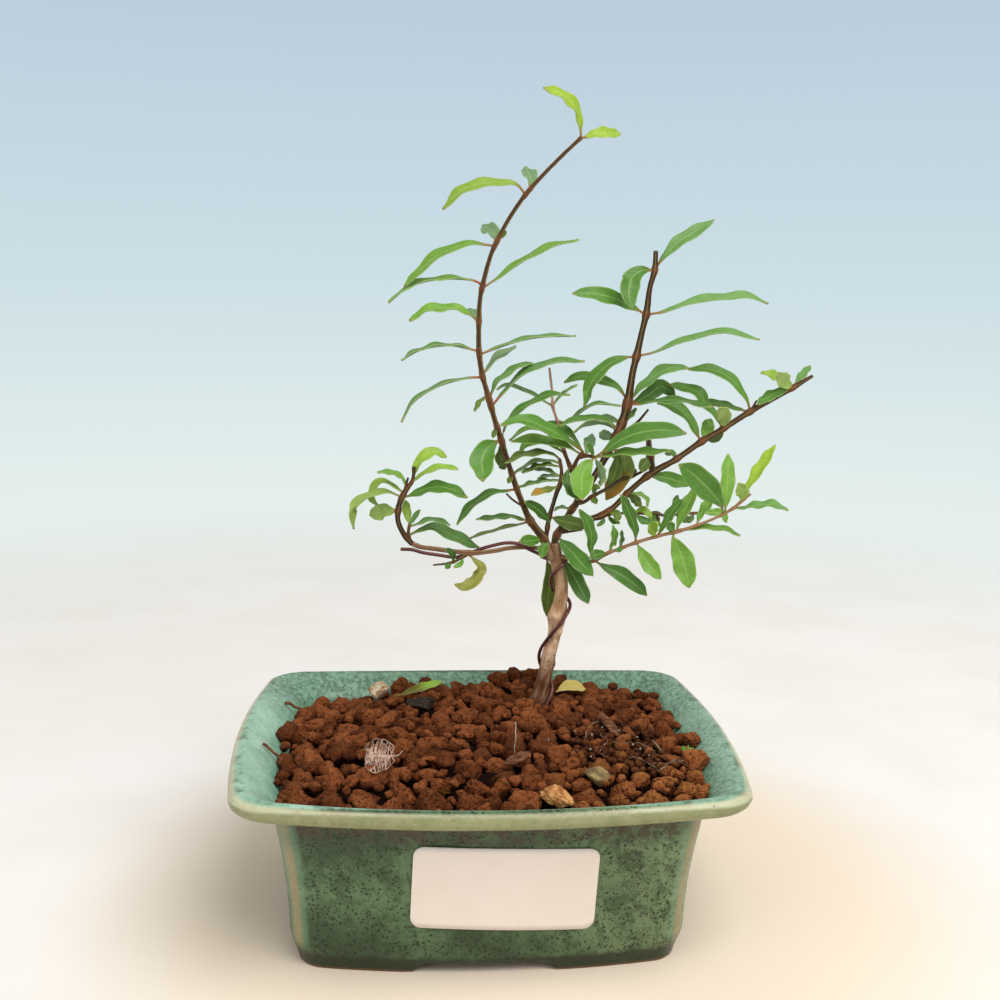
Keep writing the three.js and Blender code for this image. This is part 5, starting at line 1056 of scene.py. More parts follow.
LOWER_TWIG = {
    "wood": [
        ("fawn", [
            (24.6, 103.4, -0.4, 0.75), (28, 102.3, -1.8, 0.62), (33, 101.2, -3.8, 0.56), (36.6, 101.7, -5.2, 0.56),
            (41, 104.3, -6.8, 0.53), (44, 105.4, -7.6, 0.53), (49.7, 107.6, -9.2, 0.54), (56.4, 109.7, -10.8, 0.52),
            (62.8, 111.3, -12.2, 0.56), (69.4, 113.4, -13.4, 0.5), (75.9, 116.1, -14.4, 0.42),
            (81.2, 119.1, -15.2, 0.46), (84.2, 121.8, -15.8, 0.42), (86.9, 123.9, -16.2, 0.3),
        ]),
    ],
    "leaves": [
        ("dark", -5, 5.4, 10, 26.2, 103, 26.9, 101.6, 29.2, 97.6, 31.9, 92.9, 35, 87.3),
        ("mid", -3, 5.2, 15, 36.4, 101.6, 39.9, 99.6, 43.7, 97.9, 47.4, 95.6, 50.7, 93.1, 54.1, 90),
        ("mid", -1, 4.4, 35, 36, 101.5, 35.2, 105, 35.3, 108.2, 34.7, 112, 32.9, 115.8, 31, 118.4),
        ("mid", -4, 3.4, 10, 40.4, 104, 37.6, 103.8, 35, 102.6),
        ("fresh", 3, 3.4, 50, 41.2, 104.4, 42.2, 107.5, 42.5, 110.5, 42.1, 113.3),
        ("mid", -2, 1.8, 0, 45.6, 106.1, 44.6, 105.4, 43.4, 105),
        ("dark", 3, 2.6, 60, 44.6, 105.6, 45, 108.5, 45, 111.6),
        ("mid", -3, 4.2, 30, 49.7, 107.6, 49.6, 110.5, 48.8, 113.5, 47.2, 117.3, 44.3, 123.4),
        ("fresh", -4, 5, 10, 50, 107.5, 51.8, 104.5, 53.5, 101.5, 55.9, 98.6, 58.5, 95.6),
        ("lime", -5, 3.6, 10, 56, 109.6, 55.2, 112, 56.4, 114.4),
        ("green", 3, 4, 40, 56.6, 109.8, 59.2, 114, 61.5, 118.3, 65, 122.1),
        ("green", -2, 3, 10, 62, 111.1, 61, 113, 60.6, 114.7),
        ("fresh", -5, 7.2, 0, 62.4, 111.2, 61.9, 109.5, 63.7, 106.1, 65.3, 102.5, 66.6, 98.5, 68, 92.6),
        ("fresh", 4, 4.6, 35, 63, 111.4, 63.5, 114.3, 65.4, 118.2, 67, 121.8, 68.6, 126),
        ("fresh", -2, 4, 64, 63.8, 111.6, 68.9, 112.4, 72.5, 112.6, 76.1, 112.4, 79.7, 111.8, 84, 110.1),
        ("fresh", 5, 3.8, 40, 69.4, 113.4, 70.1, 115.6, 71, 117.3, 73, 120.5, 76, 123.5),
        ("green", -5, 8, 0, 78, 117.2, 77.4, 119.8, 74.6, 123.6, 70.2, 127.9, 66.5, 131, 62.8, 133.3),
        ("fresh", 6, 4.8, 20, 78.6, 117.6, 78.8, 122, 78.9, 127, 78.8, 132, 78.6, 136.9),
        ("soft", -6, 4.4, 58, 81.2, 119.1, 85, 119.4, 91.7, 120.3, 95.3, 120.1, 99.5, 118.4),
        ("pale", -4, 4.4, 10, 83.6, 121.3, 84, 124, 82.6, 127.4),
        ("bright", 5, 4.6, 42, 84.4, 122, 85.2, 124.8, 88.3, 130.5, 92.6, 137.7, 93.9, 139.9),
    ],
}

LEFT_BRANCH = {
    "wood": [
        ("pale_brown", [
            (21.4, 104.4, 0, 0.85), (19, 105.5, -0.4, 0.8), (16, 105.9, -0.8, 0.75), (12, 105.9, -1.2, 0.75),
            (8, 105.6, -1.6, 0.8), (5.3, 105, -1.9, 0.82), (0, 104.2, -2.4, 0.85), (-4, 104, -2.8, 0.95),
            (-9, 104.5, -3.2, 0.85), (-14.8, 105.3, -3.7, 0.85), (-19.8, 106, -4.1, 0.85), (-22.4, 107, -4.4, 0.95),
        ]),
        ("dark_brown", [
            (-22.4, 107, -4.4, 0.93), (-24.4, 109.2, -4.6, 0.85), (-26.1, 112, -4.8, 0.85), (-27, 115, -5, 0.82),
            (-26.7, 119, -5.2, 0.9), (-25.7, 122, -5.4, 0.82), (-24.2, 124.8, -5.6, 0.7),
            (-22.4, 127.4, -5.8, 0.52), (-22, 131.8, -6, 0.6),
        ]),
        ("olive_brown", [(-22.8, 107.4, -4.4, 0.6), (-23.6, 110.4, -4.9, 0.55), (-23.2, 113.4, -5.1, 0.45)]),
        ("black_brown", [(-25.2, 123, -5.5, 0.4), (-23.8, 128.3, -6, 0.34)]),
        ("grey_brown", [
            (-4.4, 103.8, -2.8, 0.55), (-7, 102.2, -3.6, 0.46), (-9.5, 100.9, -4.2, 0.42), (-15.6, 100, -4.8, 0.3),
        ]),
        ("dark_brown", [(21.5, 104.4, 0.3, 0.7), (20.8, 103.3, 3.6, 0.5)]),
    ],
    "leaves": [
        ("dark", -4.5, 2.2, 20, -9.4, 101, -9.2, 103.2, -11.6, 105.5),
        ("green", -2, 2.2, 0, -10.2, 100.8, -10.9, 99.8, -11.4, 98.9),
        ("fresh", -2, 1.9, 30, -6.2, 102.6, -6.6, 100.6, -8.9, 99.3),
        ("turning", -5, 4.6, 35, -4.4, 103.4, -2.2, 101.7, -0.4, 99.6, -0.9, 97, -2.6, 94.2, -5.4, 92.9, -8.6,
         93.6),
        ("lime", 3, 4.1, 38, -22.4, 127.2, -21.4, 131.5, -18.9, 135, -15.4, 136.6, -11.8, 134.9),
        ("lime", -5, 4, 62, -22.9, 126.8, -19.9, 129, -16.2, 131, -12.1, 131.7, -8.1, 131.2),
        ("green", -6, 5, 42, -25.6, 121.8, -22.1, 122.9, -18.4, 124.6, -14.3, 125.4, -9.4, 124.3, -4.9, 122),
        ("fresh", -2, 4, 65, -24.2, 125.2, -26, 128.4, -29.3, 129.7, -33.5, 129.9),
        ("lime", 6, 4, 58, -25.4, 123.4, -29.3, 126.3, -31.9, 127, -34.1, 125.7, -35.6, 122, -33, 118.9),
        ("pale", -3, 4.2, 55, -25.8, 122.2, -30.8, 123.8, -34.5, 123, -40.4, 119.6, -41.6, 115.6, -40.9, 111.6),
        ("pale", 7, 5.2, 10, -26.9, 117.6, -30.7, 117.6, -35.8, 116.2),
        ("lime", 3, 3, 20, -23.3, 113, -24.2, 117.4, -24.6, 121.1),
        ("soft", -1, 1.9, 30, -23.2, 113, -21.5, 115.8, -20, 118),
        ("soft", -2, 3.6, 65, -23.2, 112.6, -20.5, 113.5, -17.5, 114.7, -13.7, 114.5, -10.3, 113),
        ("soft", 6, 5, 40, -23.5, 109.6, -20.5, 111.2, -16.7, 112.4, -12.9, 111.3, -9.1, 109.4, -1, 105.8),
        ("olive", 3, 5, 10, 20.9, 103.3, 21.2, 101, 22, 97.6, 22.1, 93.6, 21.8, 89, 21.6, 83),
    ],
}

# %% [markdown]
# The trunk is one grown piece of smooth tan bark with shallow furrows, an old pruning knot past the middle and a
# few sleeping buds. Its foot is darker. It is a tube with a changing radius, and noise that is stretched along the
# limb gives the furrows. Real furrows break the outline, so they are made in the mesh, and only the finest grain is
# a bump.

# %% Grow the trunk
# each knot or bud: its height, its direction, how far it swells and how far it spreads
BUMPS = [
    (67.0, 2.9, 0.9, 1.1), (78.0, 2.4, 0.8, 1.0), (83.6, 0.4, 0.8, 1.6), (85.2, 3.6, 0.7, 1.5),
    (60.0, 0.0, 0.5, 1.4),
]


def bark_skin(run, angles, radius, around_points):
    """The trunk's radius all round at one height: furrows, knots and buds."""
    out = []
    for angle, point in zip(angles, around_points):
        spot = Vector((math.cos(angle) * 1.4, math.sin(angle) * 1.4, run * 0.055))
        furrow = noise.fractal(spot * 1.6, 0.9, 2.1, 4) * 0.16
        lumps = noise.noise(Vector(point) * 0.28) * 0.14
        extra = 0.0
        for height, direction, swell, spread in BUMPS:
            turn = math.atan2(math.sin(angle - direction), math.cos(angle - direction))
            extra += swell * math.exp(-((point[2] - height) / spread) ** 2 - (turn / 0.75) ** 2)
        out.append(radius + furrow + lumps + extra * 0.55)
    return np.array(out)


trunk = Bundle()
for path, steps, shape in ((TRUNK, 190, bark_skin), (TRUNK_FORK, 30, None)):
    points, faces, skin = tube(limb_line(path, steps), 36, shape)
    trunk.add(points, faces, skin=skin * (2.6, 2.6, 1.0), upward=points[:, 2])

bark = Finish("tan_furrowed_bark")
cords = bark.noise(2.2, 4, bark.place("skin", (0.001, 0.001, 0.00035)), warp=0.4)
flakes = bark.noise(1.6, 4)
scars = bark.cells(2.1, bark.place("skin", (0.001, 0.001, 0.0017)))
upward = bark.value("upward")
# the trunk is darker towards its foot
dark_foot = upward.step(75.0, 60.0) * (cords.step(0.66, 0.40) * 0.15 + 0.82)
colour = bark.coats(
    bark.blend(cords.step(0.36, 0.66), "a57c5c", "ebc8a7"),
    (flakes.step(0.52, 0.68) * 0.3, "9c6243"),
    (flakes.step(0.46, 0.30) * 0.5, "e2c9ad"),
    (upward.step(78.0, 92.0) * 0.5, "9c774c"),
    (dark_foot, "50280f"),
    (scars.step(0.24, 0.08) * flakes.step(0.4, 0.55) * 0.75, "6e4029"),
    (upward.step(97.0, 104.0) * 0.6, "5a4231"))
relief = cords + flakes * 0.6 + scars.step(0.05, 0.3) * 0.4
bark.surface(colour, 0.76 + flakes * 0.2, relief, 0.36, **{"Specular IOR Level": 0.2})
trunk.piece("furrowed_trunk", [bark], "bark", "trunk")

# %% [markdown]
# The training wire is soft anodised aluminium, wound up the trunk and out along the left branch so that it holds
# the branch where it was bent. It has to lie against the wood all the way, so its line is read off the limb that
# it winds round: a height or a distance along, and the angle at which it passes.

# %% Wind the training wire
WIRE_RADIUS = 0.56
WIRE_CLEARANCE = 0.42
# up the trunk: heights, and the angles in degrees at which the wire passes
ROUND_TRUNK = [
    (44, -70), (50.4, -58), (53, -48), (55.5, -35), (58, -10), (60.5, 35), (63.5, 90), (66.5, 128), (69.4, 155),
    (72.2, 180), (74.5, 205), (76.8, 232), (79.2, 258), (81.5, 282), (83.6, 303), (85.6, 330), (87.2, 358),
    (88.6, 400), (90, 450), (91.4, 495), (93.2, 525), (95.9, 550), (98.2, 590), (100, 628), (101.2, 665),
    (102.2, 715),
]
# over the fork: across, up and depth
ACROSS_FORK = [(25.4, 103, 3.2), (22.6, 102.6, 4.0), (20.1, 102.5, 2.2)]
# along the branch: distances across, and angles
ROUND_BRANCH = [
    (18.4, 195), (15, 262), (12, 318), (8, 358), (3.5, 392), (0, 420), (-3, 455), (-6, 500), (-9, 540),
    (-14, 562), (-19, 572), (-22.4, 562),
]


def beside(path, key, value, angle, up):
    """A place against a limb: key says whether the value is a distance across or a height."""
    rows = np.array(path)
    order = np.argsort(rows[:, key])
    at = [np.interp(value, rows[order, key], rows[order, column]) for column in range(4)]
    at[key] = value
    reach, turn = at[3] + WIRE_RADIUS + WIRE_CLEARANCE, math.radians(angle)
    return seen(*at[:3]) + np.array(up) * reach * math.cos(turn) + np.array((0, 1, 0)) * reach * math.sin(turn)


wire_points = [beside(TRUNK, 1, z, angle, (1, 0, 0)) for z, angle in ROUND_TRUNK]
wire_points += [seen(*spot) for spot in ACROSS_FORK]
held = LEFT_BRANCH["wood"][0][1]
wire_points += [beside(held, 0, x, angle, (0, 0, 1)) for x, angle in ROUND_BRANCH]
wire_points.append(seen(-26, 105.2, -4.6))
wire_line = smooth_line([(*point, WIRE_RADIUS) for point in wire_points], 620)
wire = Bundle()
points, faces, skin = tube(wire_line, 12)
wire.add(points, faces, skin=skin)
wire_steps = np.linalg.norm(np.diff(wire_line[:, :3], axis=0), axis=1)
print("wire length in millimetres:", round(float(wire_steps.sum())))

anodised = Finish("brown_anodised_wire")
drawn = anodised.noise(0.5, 2, anodised.place("skin", (0.001, 0.001, 0.00004)))
worn = anodised.noise(1.6, 4).step(0.60, 0.72)
colour = anodised.coats(anodised.blend(drawn.step(0.3, 0.7), "4a2320", "7c4a44"), (worn * 0.5, "94695a"))
anodised.surface(colour, 0.30 + drawn * 0.14 + worn * 0.15, drawn, 0.02, Metallic=0.4)
wire.piece("wound_wire", [anodised], "wire", "training_wire")

# %% [markdown]
# The young wood of each stem is thin and ribbed, thickened at the joints where pairs of leaves spring. Its skin
# changes from tan or red on new growth to dark brown on old. Leaf and wood of one stem are one grown piece, so they
# are one object here, with two finishes.

# %% The stems' wood
BARK_WORDS = {
    "red_brown": "593b1d", "grey_brown": "5b4a31", "dark_brown": "3d2812", "brown": "4d351b", "tan": "e0b49c",
    "black_brown": "2f1e0c", "olive_brown": "504323", "pale_brown": "9c7656", "fawn": "bd9169",
}


def joints_on(path, leaves):
    """Where leaves spring from a limb, in space."""
    spots = []
    for _, _, _, _, x, z, *_ in leaves:
        near = [math.hypot(x - row[0], z - row[1]) for row in path]
        if min(near) < 7:
            spots.append(seen(x, z, path[int(np.argmin(near))][2]))
    return np.array(spots or [(0, 0, -99)])


def add_wood(heap, path, word, leaves):
    """One limb of a stem: ribbed, and swollen where leaves spring."""
    length = sum(math.dist(a[:2], b[:2]) for a, b in zip(path, path[1:]))
    line = limb_line(path, max(8, int(length / 0.7)))
    joints = joints_on(path, leaves)
    away = np.min(np.linalg.norm(line[:, None, :3] - joints[None], axis=2), axis=1)
    swollen = np.exp(-((away / 1.1) ** 2))
    line[:, 3] = line[:, 3] * (0.93 + 0.30 * swollen)
    start = chance.uniform(0, 50)

    def ribbed(run, angles, radius, around_points):
        ribs = 0.06 * np.cos(4 * angles + start) + 0.02 * np.cos(9 * angles + run * 0.2)
        rough = np.array([noise.noise(Vector(p) * 0.9) for p in around_points])
        return radius * (1 + ribs) + 0.07 * rough * min(1, radius)

    points, faces, skin = tube(line, 14, ribbed)
    joint_mark = np.concatenate([np.repeat(swollen, 14), [0, 0]])
    ridge = np.concatenate([np.tile(np.cos(4 * np.arange(14) * math.tau / 14 + start), len(line)), [0, 0]])
    heap.add(points, faces, 0, skin=skin, tint=np.array(shade(BARK_WORDS[word])[:3]), along=joint_mark, across=0.0,
             upper=0.0, blush=ridge)

# %% [markdown]
# A pomegranate leaf is narrow, glossy and a little wavy, with a pale rib sunk in its upper side and a short red
# stalk. It could be a flat card with a picture on it, but its folds and curled tip show from every side. So each
# leaf is a thin closed blade, drawn across its rib at some twenty stations, and the upper and under sides know
# which they are.

# %% The shape of a leaf
LEAF_WORDS = {
    "bright": "9dbd38", "lime": "8cb03c", "fresh": "72a03c", "green": "568630", "mid": "4c792b", "soft": "66934c",
    "underside": "7b9e70", "olive": "62792e", "dark": "3c6420", "ochre": "b88a3a", "dropped": "5c560f",
    "pale": "98b45a", "fallow": "c9b363", "turning": "93933f",
}


def spring_point(wood, x, z):
    """The point on the stem's wood that shows nearest to where a leaf springs, with its depth."""
    best = (1e9, 0, 0, 0)
    for _, path in wood:
        for (x0, z0, d0, _), (x1, z1, d1, _) in zip(path, path[1:]):
            dx, dz = x1 - x0, z1 - z0
            s = min(1, max(0, ((x - x0) * dx + (z - z0) * dz) / (dx * dx + dz * dz)))
            near = (x0 + dx * s, z0 + dz * s, d0 + (d1 - d0) * s)
            best = min(best, (math.dist((x, z), near[:2]), *near))
    return best[1:]


def blade_half(width, t):
    """Half the blade's width along its length: a thin stalk, a long oval and a blunt point."""
    along = np.maximum(0, (t - 0.07) / 0.93)
    oval = np.sin(math.pi * np.minimum(1, along**1.1 * 0.955)) ** 0.74
    tip = 1 - 0.72 * np.clip((t - 0.88) / 0.12, 0, 1) ** 2.2
    return np.maximum(0.26, width / 2 * oval * tip)


def forward_face(turn):
    """Which way a blade faces along its line: forward, turned by so many degrees towards up."""
    def face(centre, tangent):
        to_sight = SIGHT - centre
        facing = unit(to_sight - tangent * to_sight.dot(tangent))
        across = np.cross(tangent, facing)
        upward = -across if across[2] + 0.3 * across[0] < 0 else across
        return facing * math.cos(math.radians(turn)) + upward * math.sin(math.radians(turn))
    return face


def add_blade(heap, line, width, face_at, colour, blush, pick, curl=1.0, root_colour=None):
    """One leaf blade round a line: cupped, waved, grooved over its rib, quilted, and with a keel beneath."""
    count, ribs = len(line), np.array((-1, -0.93, -0.72, -0.45, -0.2, 0, 0.2, 0.45, 0.72, 0.93, 1))
    ahead = np.gradient(line, axis=0)
    stations = np.linspace(0, 1, count)
    halves = blade_half(width, stations)
    phase, pace, depth = chance.uniform(0, 6.28, 2), chance.uniform(2.0, 3.4), chance.uniform(0.25, 0.5)
    fold = chance.uniform(0.12, 0.26)
    broad = min(1, width / 4.5)
    points, along, across, upper = [], [], [], []
    for i, centre in enumerate(line):
        tangent = unit(ahead[i])
        face = face_at(centre, tangent)
        side = np.cross(tangent, face)
        half, t = halves[i], stations[i]
        opened = min(1, half / 1.2)
        cup = fold * half * np.abs(ribs) ** 1.4 * opened
        wave = depth * curl * broad * opened * np.abs(ribs) ** 2
        wave = wave * np.sin(2 * math.pi * pace * t + np.where(ribs > 0, phase[0], phase[1]))
        ripple = np.sin(2 * math.pi * pace * t + np.where(ribs > 0, phase[1], phase[0]))
        reach = ribs * half * (1 + 0.06 * broad**2 * opened * ribs**2 * ripple)
        groove = -0.14 * np.exp(-((ribs / 0.13) ** 2)) * opened * (1 - t)
        quilt = 0.28 * np.sin(math.tau * (t * 9 - np.abs(ribs) * 1.3)) * opened * (1 - np.abs(ribs)) * np.abs(ribs)
        lift = cup + wave + groove + quilt
        thick = np.where(np.abs(ribs) < 0.1, 0.22, 0.15) + 0.05 * (1 - opened) * 3
        thick = thick * np.where(np.abs(ribs) > 0.99, 0.35, 1)
        top = centre + np.outer(reach, side) + np.outer(lift + thick, face)
        keel = np.where(np.abs(ribs) < 0.05, 0.16 * opened * (1 - t * 0.8), 0)
        under = centre + np.outer(reach, side) + np.outer(lift - thick - keel, face)
        points += [*top, *under[::-1]]
        along += [t] * (2 * len(ribs))
        across += [*ribs, *ribs[::-1]]
        upper += [1.0] * len(ribs) + [0.0] * len(ribs)
    ring = 2 * len(ribs)
    faces = joined_rings(count, ring)
    last = (count - 1) * ring
    for k in range(len(ribs) - 1):
        faces.append((k, ring - 1 - k, ring - 2 - k, k + 1))
        faces.append((last + k, last + k + 1, last + ring - 2 - k, last + ring - 1 - k))
    aged = soft_step(np.array(along), 0.4, 0.75)[:, None]
    tint = aged * np.array(colour[:3]) + (1 - aged) * np.array((root_colour or colour)[:3])
    heap.add(points, faces, pick, skin=(0, 0, 0), tint=tint, along=along, across=across, upper=upper,
             blush=blush)


def add_leaf(heap, wood, row, blush, pick=1):
    """One leaf of a stem, from its row in the layout."""
    word, tip_depth, width, turn, *flat = row
    x, z, depth = spring_point(wood, flat[0], flat[1])
    spots = [(x, z), *zip(flat[2::2], flat[3::2])]
    runs = np.concatenate([[0], np.cumsum([math.dist(a, b) for a, b in zip(spots, spots[1:])])])
    sketch = [seen(x, z, depth + tip_depth * (run / runs[-1]) ** 1.15) for (x, z), run in zip(spots, runs)]
    line = smooth_line(sketch, 21)
    base = np.array(shade(LEAF_WORDS[word])) * chance.uniform(0.85, 1.12)
    root_colour = shade("76883a") if word == "ochre" else None
    add_blade(heap, line, width, forward_face(turn), base, blush, pick, root_colour=root_colour)

# %% [markdown]
# The leaf's finish starts from the tint that the leaf carries, because shade leaves are dark, new ones are lime
# and old ones yellow. The rib and side veins are paler, the rim is thin and catches the light, the stalk is red on
# vigorous shoots, and the under side is greyer and duller than the glossy upper one.

# %% Leaf and young wood finishes
leaf_skin = Finish("glossy_narrow_leaf")
tint, along, across = leaf_skin.colour("tint"), leaf_skin.value("along"), abs(leaf_skin.value("across"))
upper, blush = leaf_skin.value("upper"), leaf_skin.value("blush")
mottled, grain = leaf_skin.noise(3.2, 3), leaf_skin.noise(0.8, 3)
rib = across.step(0.13, 0.03) * along.step(1.0, 0.75)
veins = (along * 62 - across * 9).maths("SINE").step(0.72, 1.0) * across.step(0.95, 0.6)
face = leaf_skin.coats(tint, (mottled.step(0.3, 0.7) * 0.35, leaf_skin.blend(1.0, tint, "b9c98a", "MULTIPLY")))
colour = leaf_skin.coats(
    leaf_skin.blend(upper.step(0.45, 0.55), leaf_skin.blend(0.45, face, "8fa886"), face),
    (rib * 0.3 + veins * 0.05, "a9c574"),
    (across.step(0.88, 1.0) * 0.5, "b6c880"),
    (grain.step(0.6, 0.8) * 0.22, "3c5a2a"),
    (along.step(0.19, 0.06) * blush, "a9432e"),
    ((along + mottled * 0.1).step(0.99, 1.06) * 0.6, "b8a35a"))
gloss = 0.40 - upper * 0.07 + grain * 0.15
relief = grain * 0.3 - veins * 0.5 + mottled * 0.6
leaf_skin.surface(colour, gloss, relief, 0.10, **{"Specular IOR Level": 0.32})

young_wood = Finish("ribbed_young_wood")
strand = young_wood.noise(0.9, 4, young_wood.place("skin", (0.001, 0.001, 0.00012)))
flecks = young_wood.noise(0.6, 3)
ridge = young_wood.value("blush")
wood_tint = young_wood.colour("tint")
colour = young_wood.coats(
    wood_tint,
    # painted shade in the grooves between the ribs
    (ridge.step(0.1, -0.7) * 0.65, young_wood.blend(1.0, wood_tint, "8f7868", "MULTIPLY")),
    (strand.step(0.35, 0.65) * 0.35, "2c1a12"),
    (ridge.step(0.3, 0.95) * strand.step(0.75, 0.5) * 0.7, "837942"),
    (flecks.step(0.66, 0.74) * 0.4, "b9a786"),
    (young_wood.value("along") * 0.4, "8a5230"))
young_wood.surface(colour, 0.5 + flecks * 0.25, strand + flecks * 0.4, 0.12, **{"Specular IOR Level": 0.25})

# %% [markdown]
# Now the layout grows: first the limbs of each stem, then its leaves in turn. Every leaf could be an object, but a
# stem and its leaves are one grown thing, so they share a mesh. The number after each stem says how red its leaf
# stalks are, since vigorous shoots have the reddest ones.

# %% Grow the seven leafy stems
STEMS = [
    ("left_branch", LEFT_BRANCH, 0.25), ("tall_shoot", TALL_SHOOT, 0.9), ("crown_spray", CROWN_SPRAY, 0.5),
    ("inner_shoot", INNER_SHOOT, 0.3), ("right_branch", RIGHT_BRANCH, 0.75), ("upright_shoot", UPRIGHT_SHOOT, 0.9),
    ("lower_twig", LOWER_TWIG, 0.4),
]
for stem_name, stem, redness in STEMS:
    heap = Bundle()
    for bark_word, path in stem["wood"]:
        add_wood(heap, path, bark_word, stem["leaves"])
    for row in stem["leaves"]:
        add_leaf(heap, stem["wood"], row, redness * chance.uniform(0.5, 1.0))
    heap.piece("leafy_" + stem_name, [young_wood, leaf_skin], "leafy_stem", stem_name)

# %% [markdown]
# A few stones and bits of bark lie among the granules. They are lumps and splinters of other stuff, so each gets
# its own finish: a pale shelly stone, a slate one, a smooth olive pebble and a porous tan granule. Four node trees
# would say the same thing four times, so one recipe for mineral finishes with different colours serves them all.

# %% Stones among the granules
def mineral(name, dark, light, stain, gloss, grit_size, height=0.2):
    """The finish of a stone: dark and light bands with stained specks."""
    finish = Finish(name)
    bands = finish.noise(grit_size * 3, 4, warp=0.5)
    speck = finish.noise(grit_size * 0.6, 3)
    ground = finish.blend(bands.step(0.35, 0.65), dark, light)
    colour = finish.coats(ground, (speck.step(0.56, 0.72) * 0.6, stain))
    finish.surface(colour, gloss + speck * 0.2, bands * 0.5 + speck, height, **{"Specular IOR Level": 0.2})
    return finish


# each stone: its node, its slot, its name, its place, its half sizes, its turn and its lift, how many facets it has
# and how rough it is, and then its finish
STONES = [
    ("pale_stone", "pale_stone", "shelly_stone", (-32.9, 42.1), (3.3, 2.7, 3.0), 0.4, 3.4, 11, 0.08,
     ("9c7a55", "ead9bd", "6f4a30", 0.8, 0.8)),
    ("dark_stone", "dark_stone", "slate_stone", (-19.0, 21.8), (5.3, 3.1, 2.2), -0.35, 1.5, 11, 0.08,
     ("150f0a", "2e241b", "65594a", 0.6, 1.0)),
    ("olive_pebble", "olive_stone", "olive_pebble", (29.7, -37.6), (3.1, 2.6, 2.5), 0.2, 1.7, 5, 0.015,
     ("66543a", "9a8558", "524226", 0.65, 1.4)),
    ("tan_granule", "tan_stone", "tan_crumb", (17.2, -48.0), (4.9, 2.6, 2.4), -0.75, 1.8, 11, 0.13,
     ("9c6234", "cf9d66", "744421", 0.95, 0.6)),
]
for node_name, slot, name, at, size, turn, lift, facets, rough, looks in STONES:
    points, faces, _ = lump(5, facets=facets, rough=rough, pitted=0.0)
    stone = Bundle()
    moved = turned_about(points * 1.1, np.array(size), np.array((0.0, 0.0, turn)))
    stone.add(moved + (*at, soil_height(*at) + lift), faces)
    stone.piece(name + "_fine", [mineral(name + "_finish", *looks)], slot, node_name)

# %% [markdown]
# Bark chips, dead twigs and roots are splintered dry wood. A chip is a thin slab whose outline is ragged and whose
# faces are layered, and a twig is a bent tube with snapped ends. A bump on a smooth slab would keep its clean edge,
# so the layers and the ragged outline are in the mesh.

# %% Dead wood
dry_wood = Finish("splintered_dry_wood")
layers = dry_wood.noise(1.4, 5, dry_wood.place(stretch=(0.4, 1.0, 2.0)))
colour = dry_wood.coats(
    dry_wood.blend(layers.step(0.35, 0.65), "3f2415", "7d5035"),
    (dry_wood.noise(0.5, 2).step(0.58, 0.7) * 0.3, "9a7556"))
dry_wood.surface(colour, 0.85, layers, 0.25, **{"Specular IOR Level": 0.2})

# each chip: its node, its place, its length and width, its turn and pitch, and its lift
CHIPS = [
    ("bark_chip_back", (39.0, -0.6), 11, 3.4, -1.13, 0.39, 2.6),
    ("bark_chip_front", (8.2, -27.9), 9.5, 4.6, 0.55, -0.16, 2.2),
]
CHIP_OUTLINE = [(-1, 0), (-0.5, -1), (0.7, -0.8), (1, 0.2), (0.3, 1), (-0.6, 0.7)]
# from the upper face over the edge to the lower face: each ring's share of the outline, and its height
CHIP_RINGS = [
    (0.0, 0.5), (0.4, 0.55), (0.75, 0.5), (0.97, 0.42), (1.02, 0.1), (1.0, -0.35), (0.8, -0.5), (0.4, -0.55),
    (0.0, -0.5),
]
for node_name, at, length, width, turn, pitch, lift in CHIPS:
    ends = np.array(CHIP_OUTLINE) * (length / 2, width / 2)
    edge = []
    for a, b in zip(ends, np.roll(ends, -1, axis=0)):
        for s in np.arange(8) / 8:
            edge.append(a + (b - a) * s)
    edge = np.array([p * (1 + 0.09 * noise.noise(Vector((*p, 1)) * 1.3)) for p in edge])
    chip, points = Bundle(), []
    for share, up in CHIP_RINGS:
        for p in edge * max(share, 0.02):
            ruffle = noise.fractal(Vector((p[0] * 0.3, p[1] * 1.6, up)), 0.9, 2, 3) * 0.35
            points.append((p[0], p[1], up * 1.1 + ruffle + 0.04 * p[1] ** 2))
    around = len(edge)
    faces = joined_rings(len(CHIP_RINGS), around, flip=True)
    faces += [tuple(range(around)), tuple(range(len(points) - around, len(points)))[::-1]]
    tilted = turned_about(np.array(points), 1, np.array((0.0, pitch, turn)))
    chip.add(tilted + (*at, soil_height(*at) + lift), faces)
    chip.piece(node_name + "_ragged", [dry_wood], "dead_wood", node_name)


def thin_strand(points, radius, taper=0.6, wobble=0.25, count=26):
    """A thin crooked tube that narrows to its end."""
    line = smooth_line([(*p, radius) for p in points], count)
    for i, p in enumerate(line):
        line[i, :3] += np.array(noise.noise_vector(Vector(p[:3]) * 0.5)) * wobble
    line[:, 3] *= np.linspace(1, taper, count)
    return tube(line, 7)[:2]


# each twig: its node, its radius and its line
TWIGS = [
    ("dead_twig_back", 0.55,
     [(-63.7, 29.6, 52.3), (-62.0, 29.6, 51.8), (-59.9, 28.4, 51.0), (-57.7, 28.4, 50.0)]),
    ("dead_twig_left", 0.48,
     [(-66.3, -9.6, 53.2), (-64.5, -10.4, 52.2), (-62.2, -12.6, 50.8), (-60.3, -13.4, 49.3)]),
]
for node_name, radius, path in TWIGS:
    twig = Bundle()
    twig.add(*thin_strand(path, radius, 0.8))
    twig.piece(node_name + "_snapped", [dry_wood], "dead_wood", node_name)

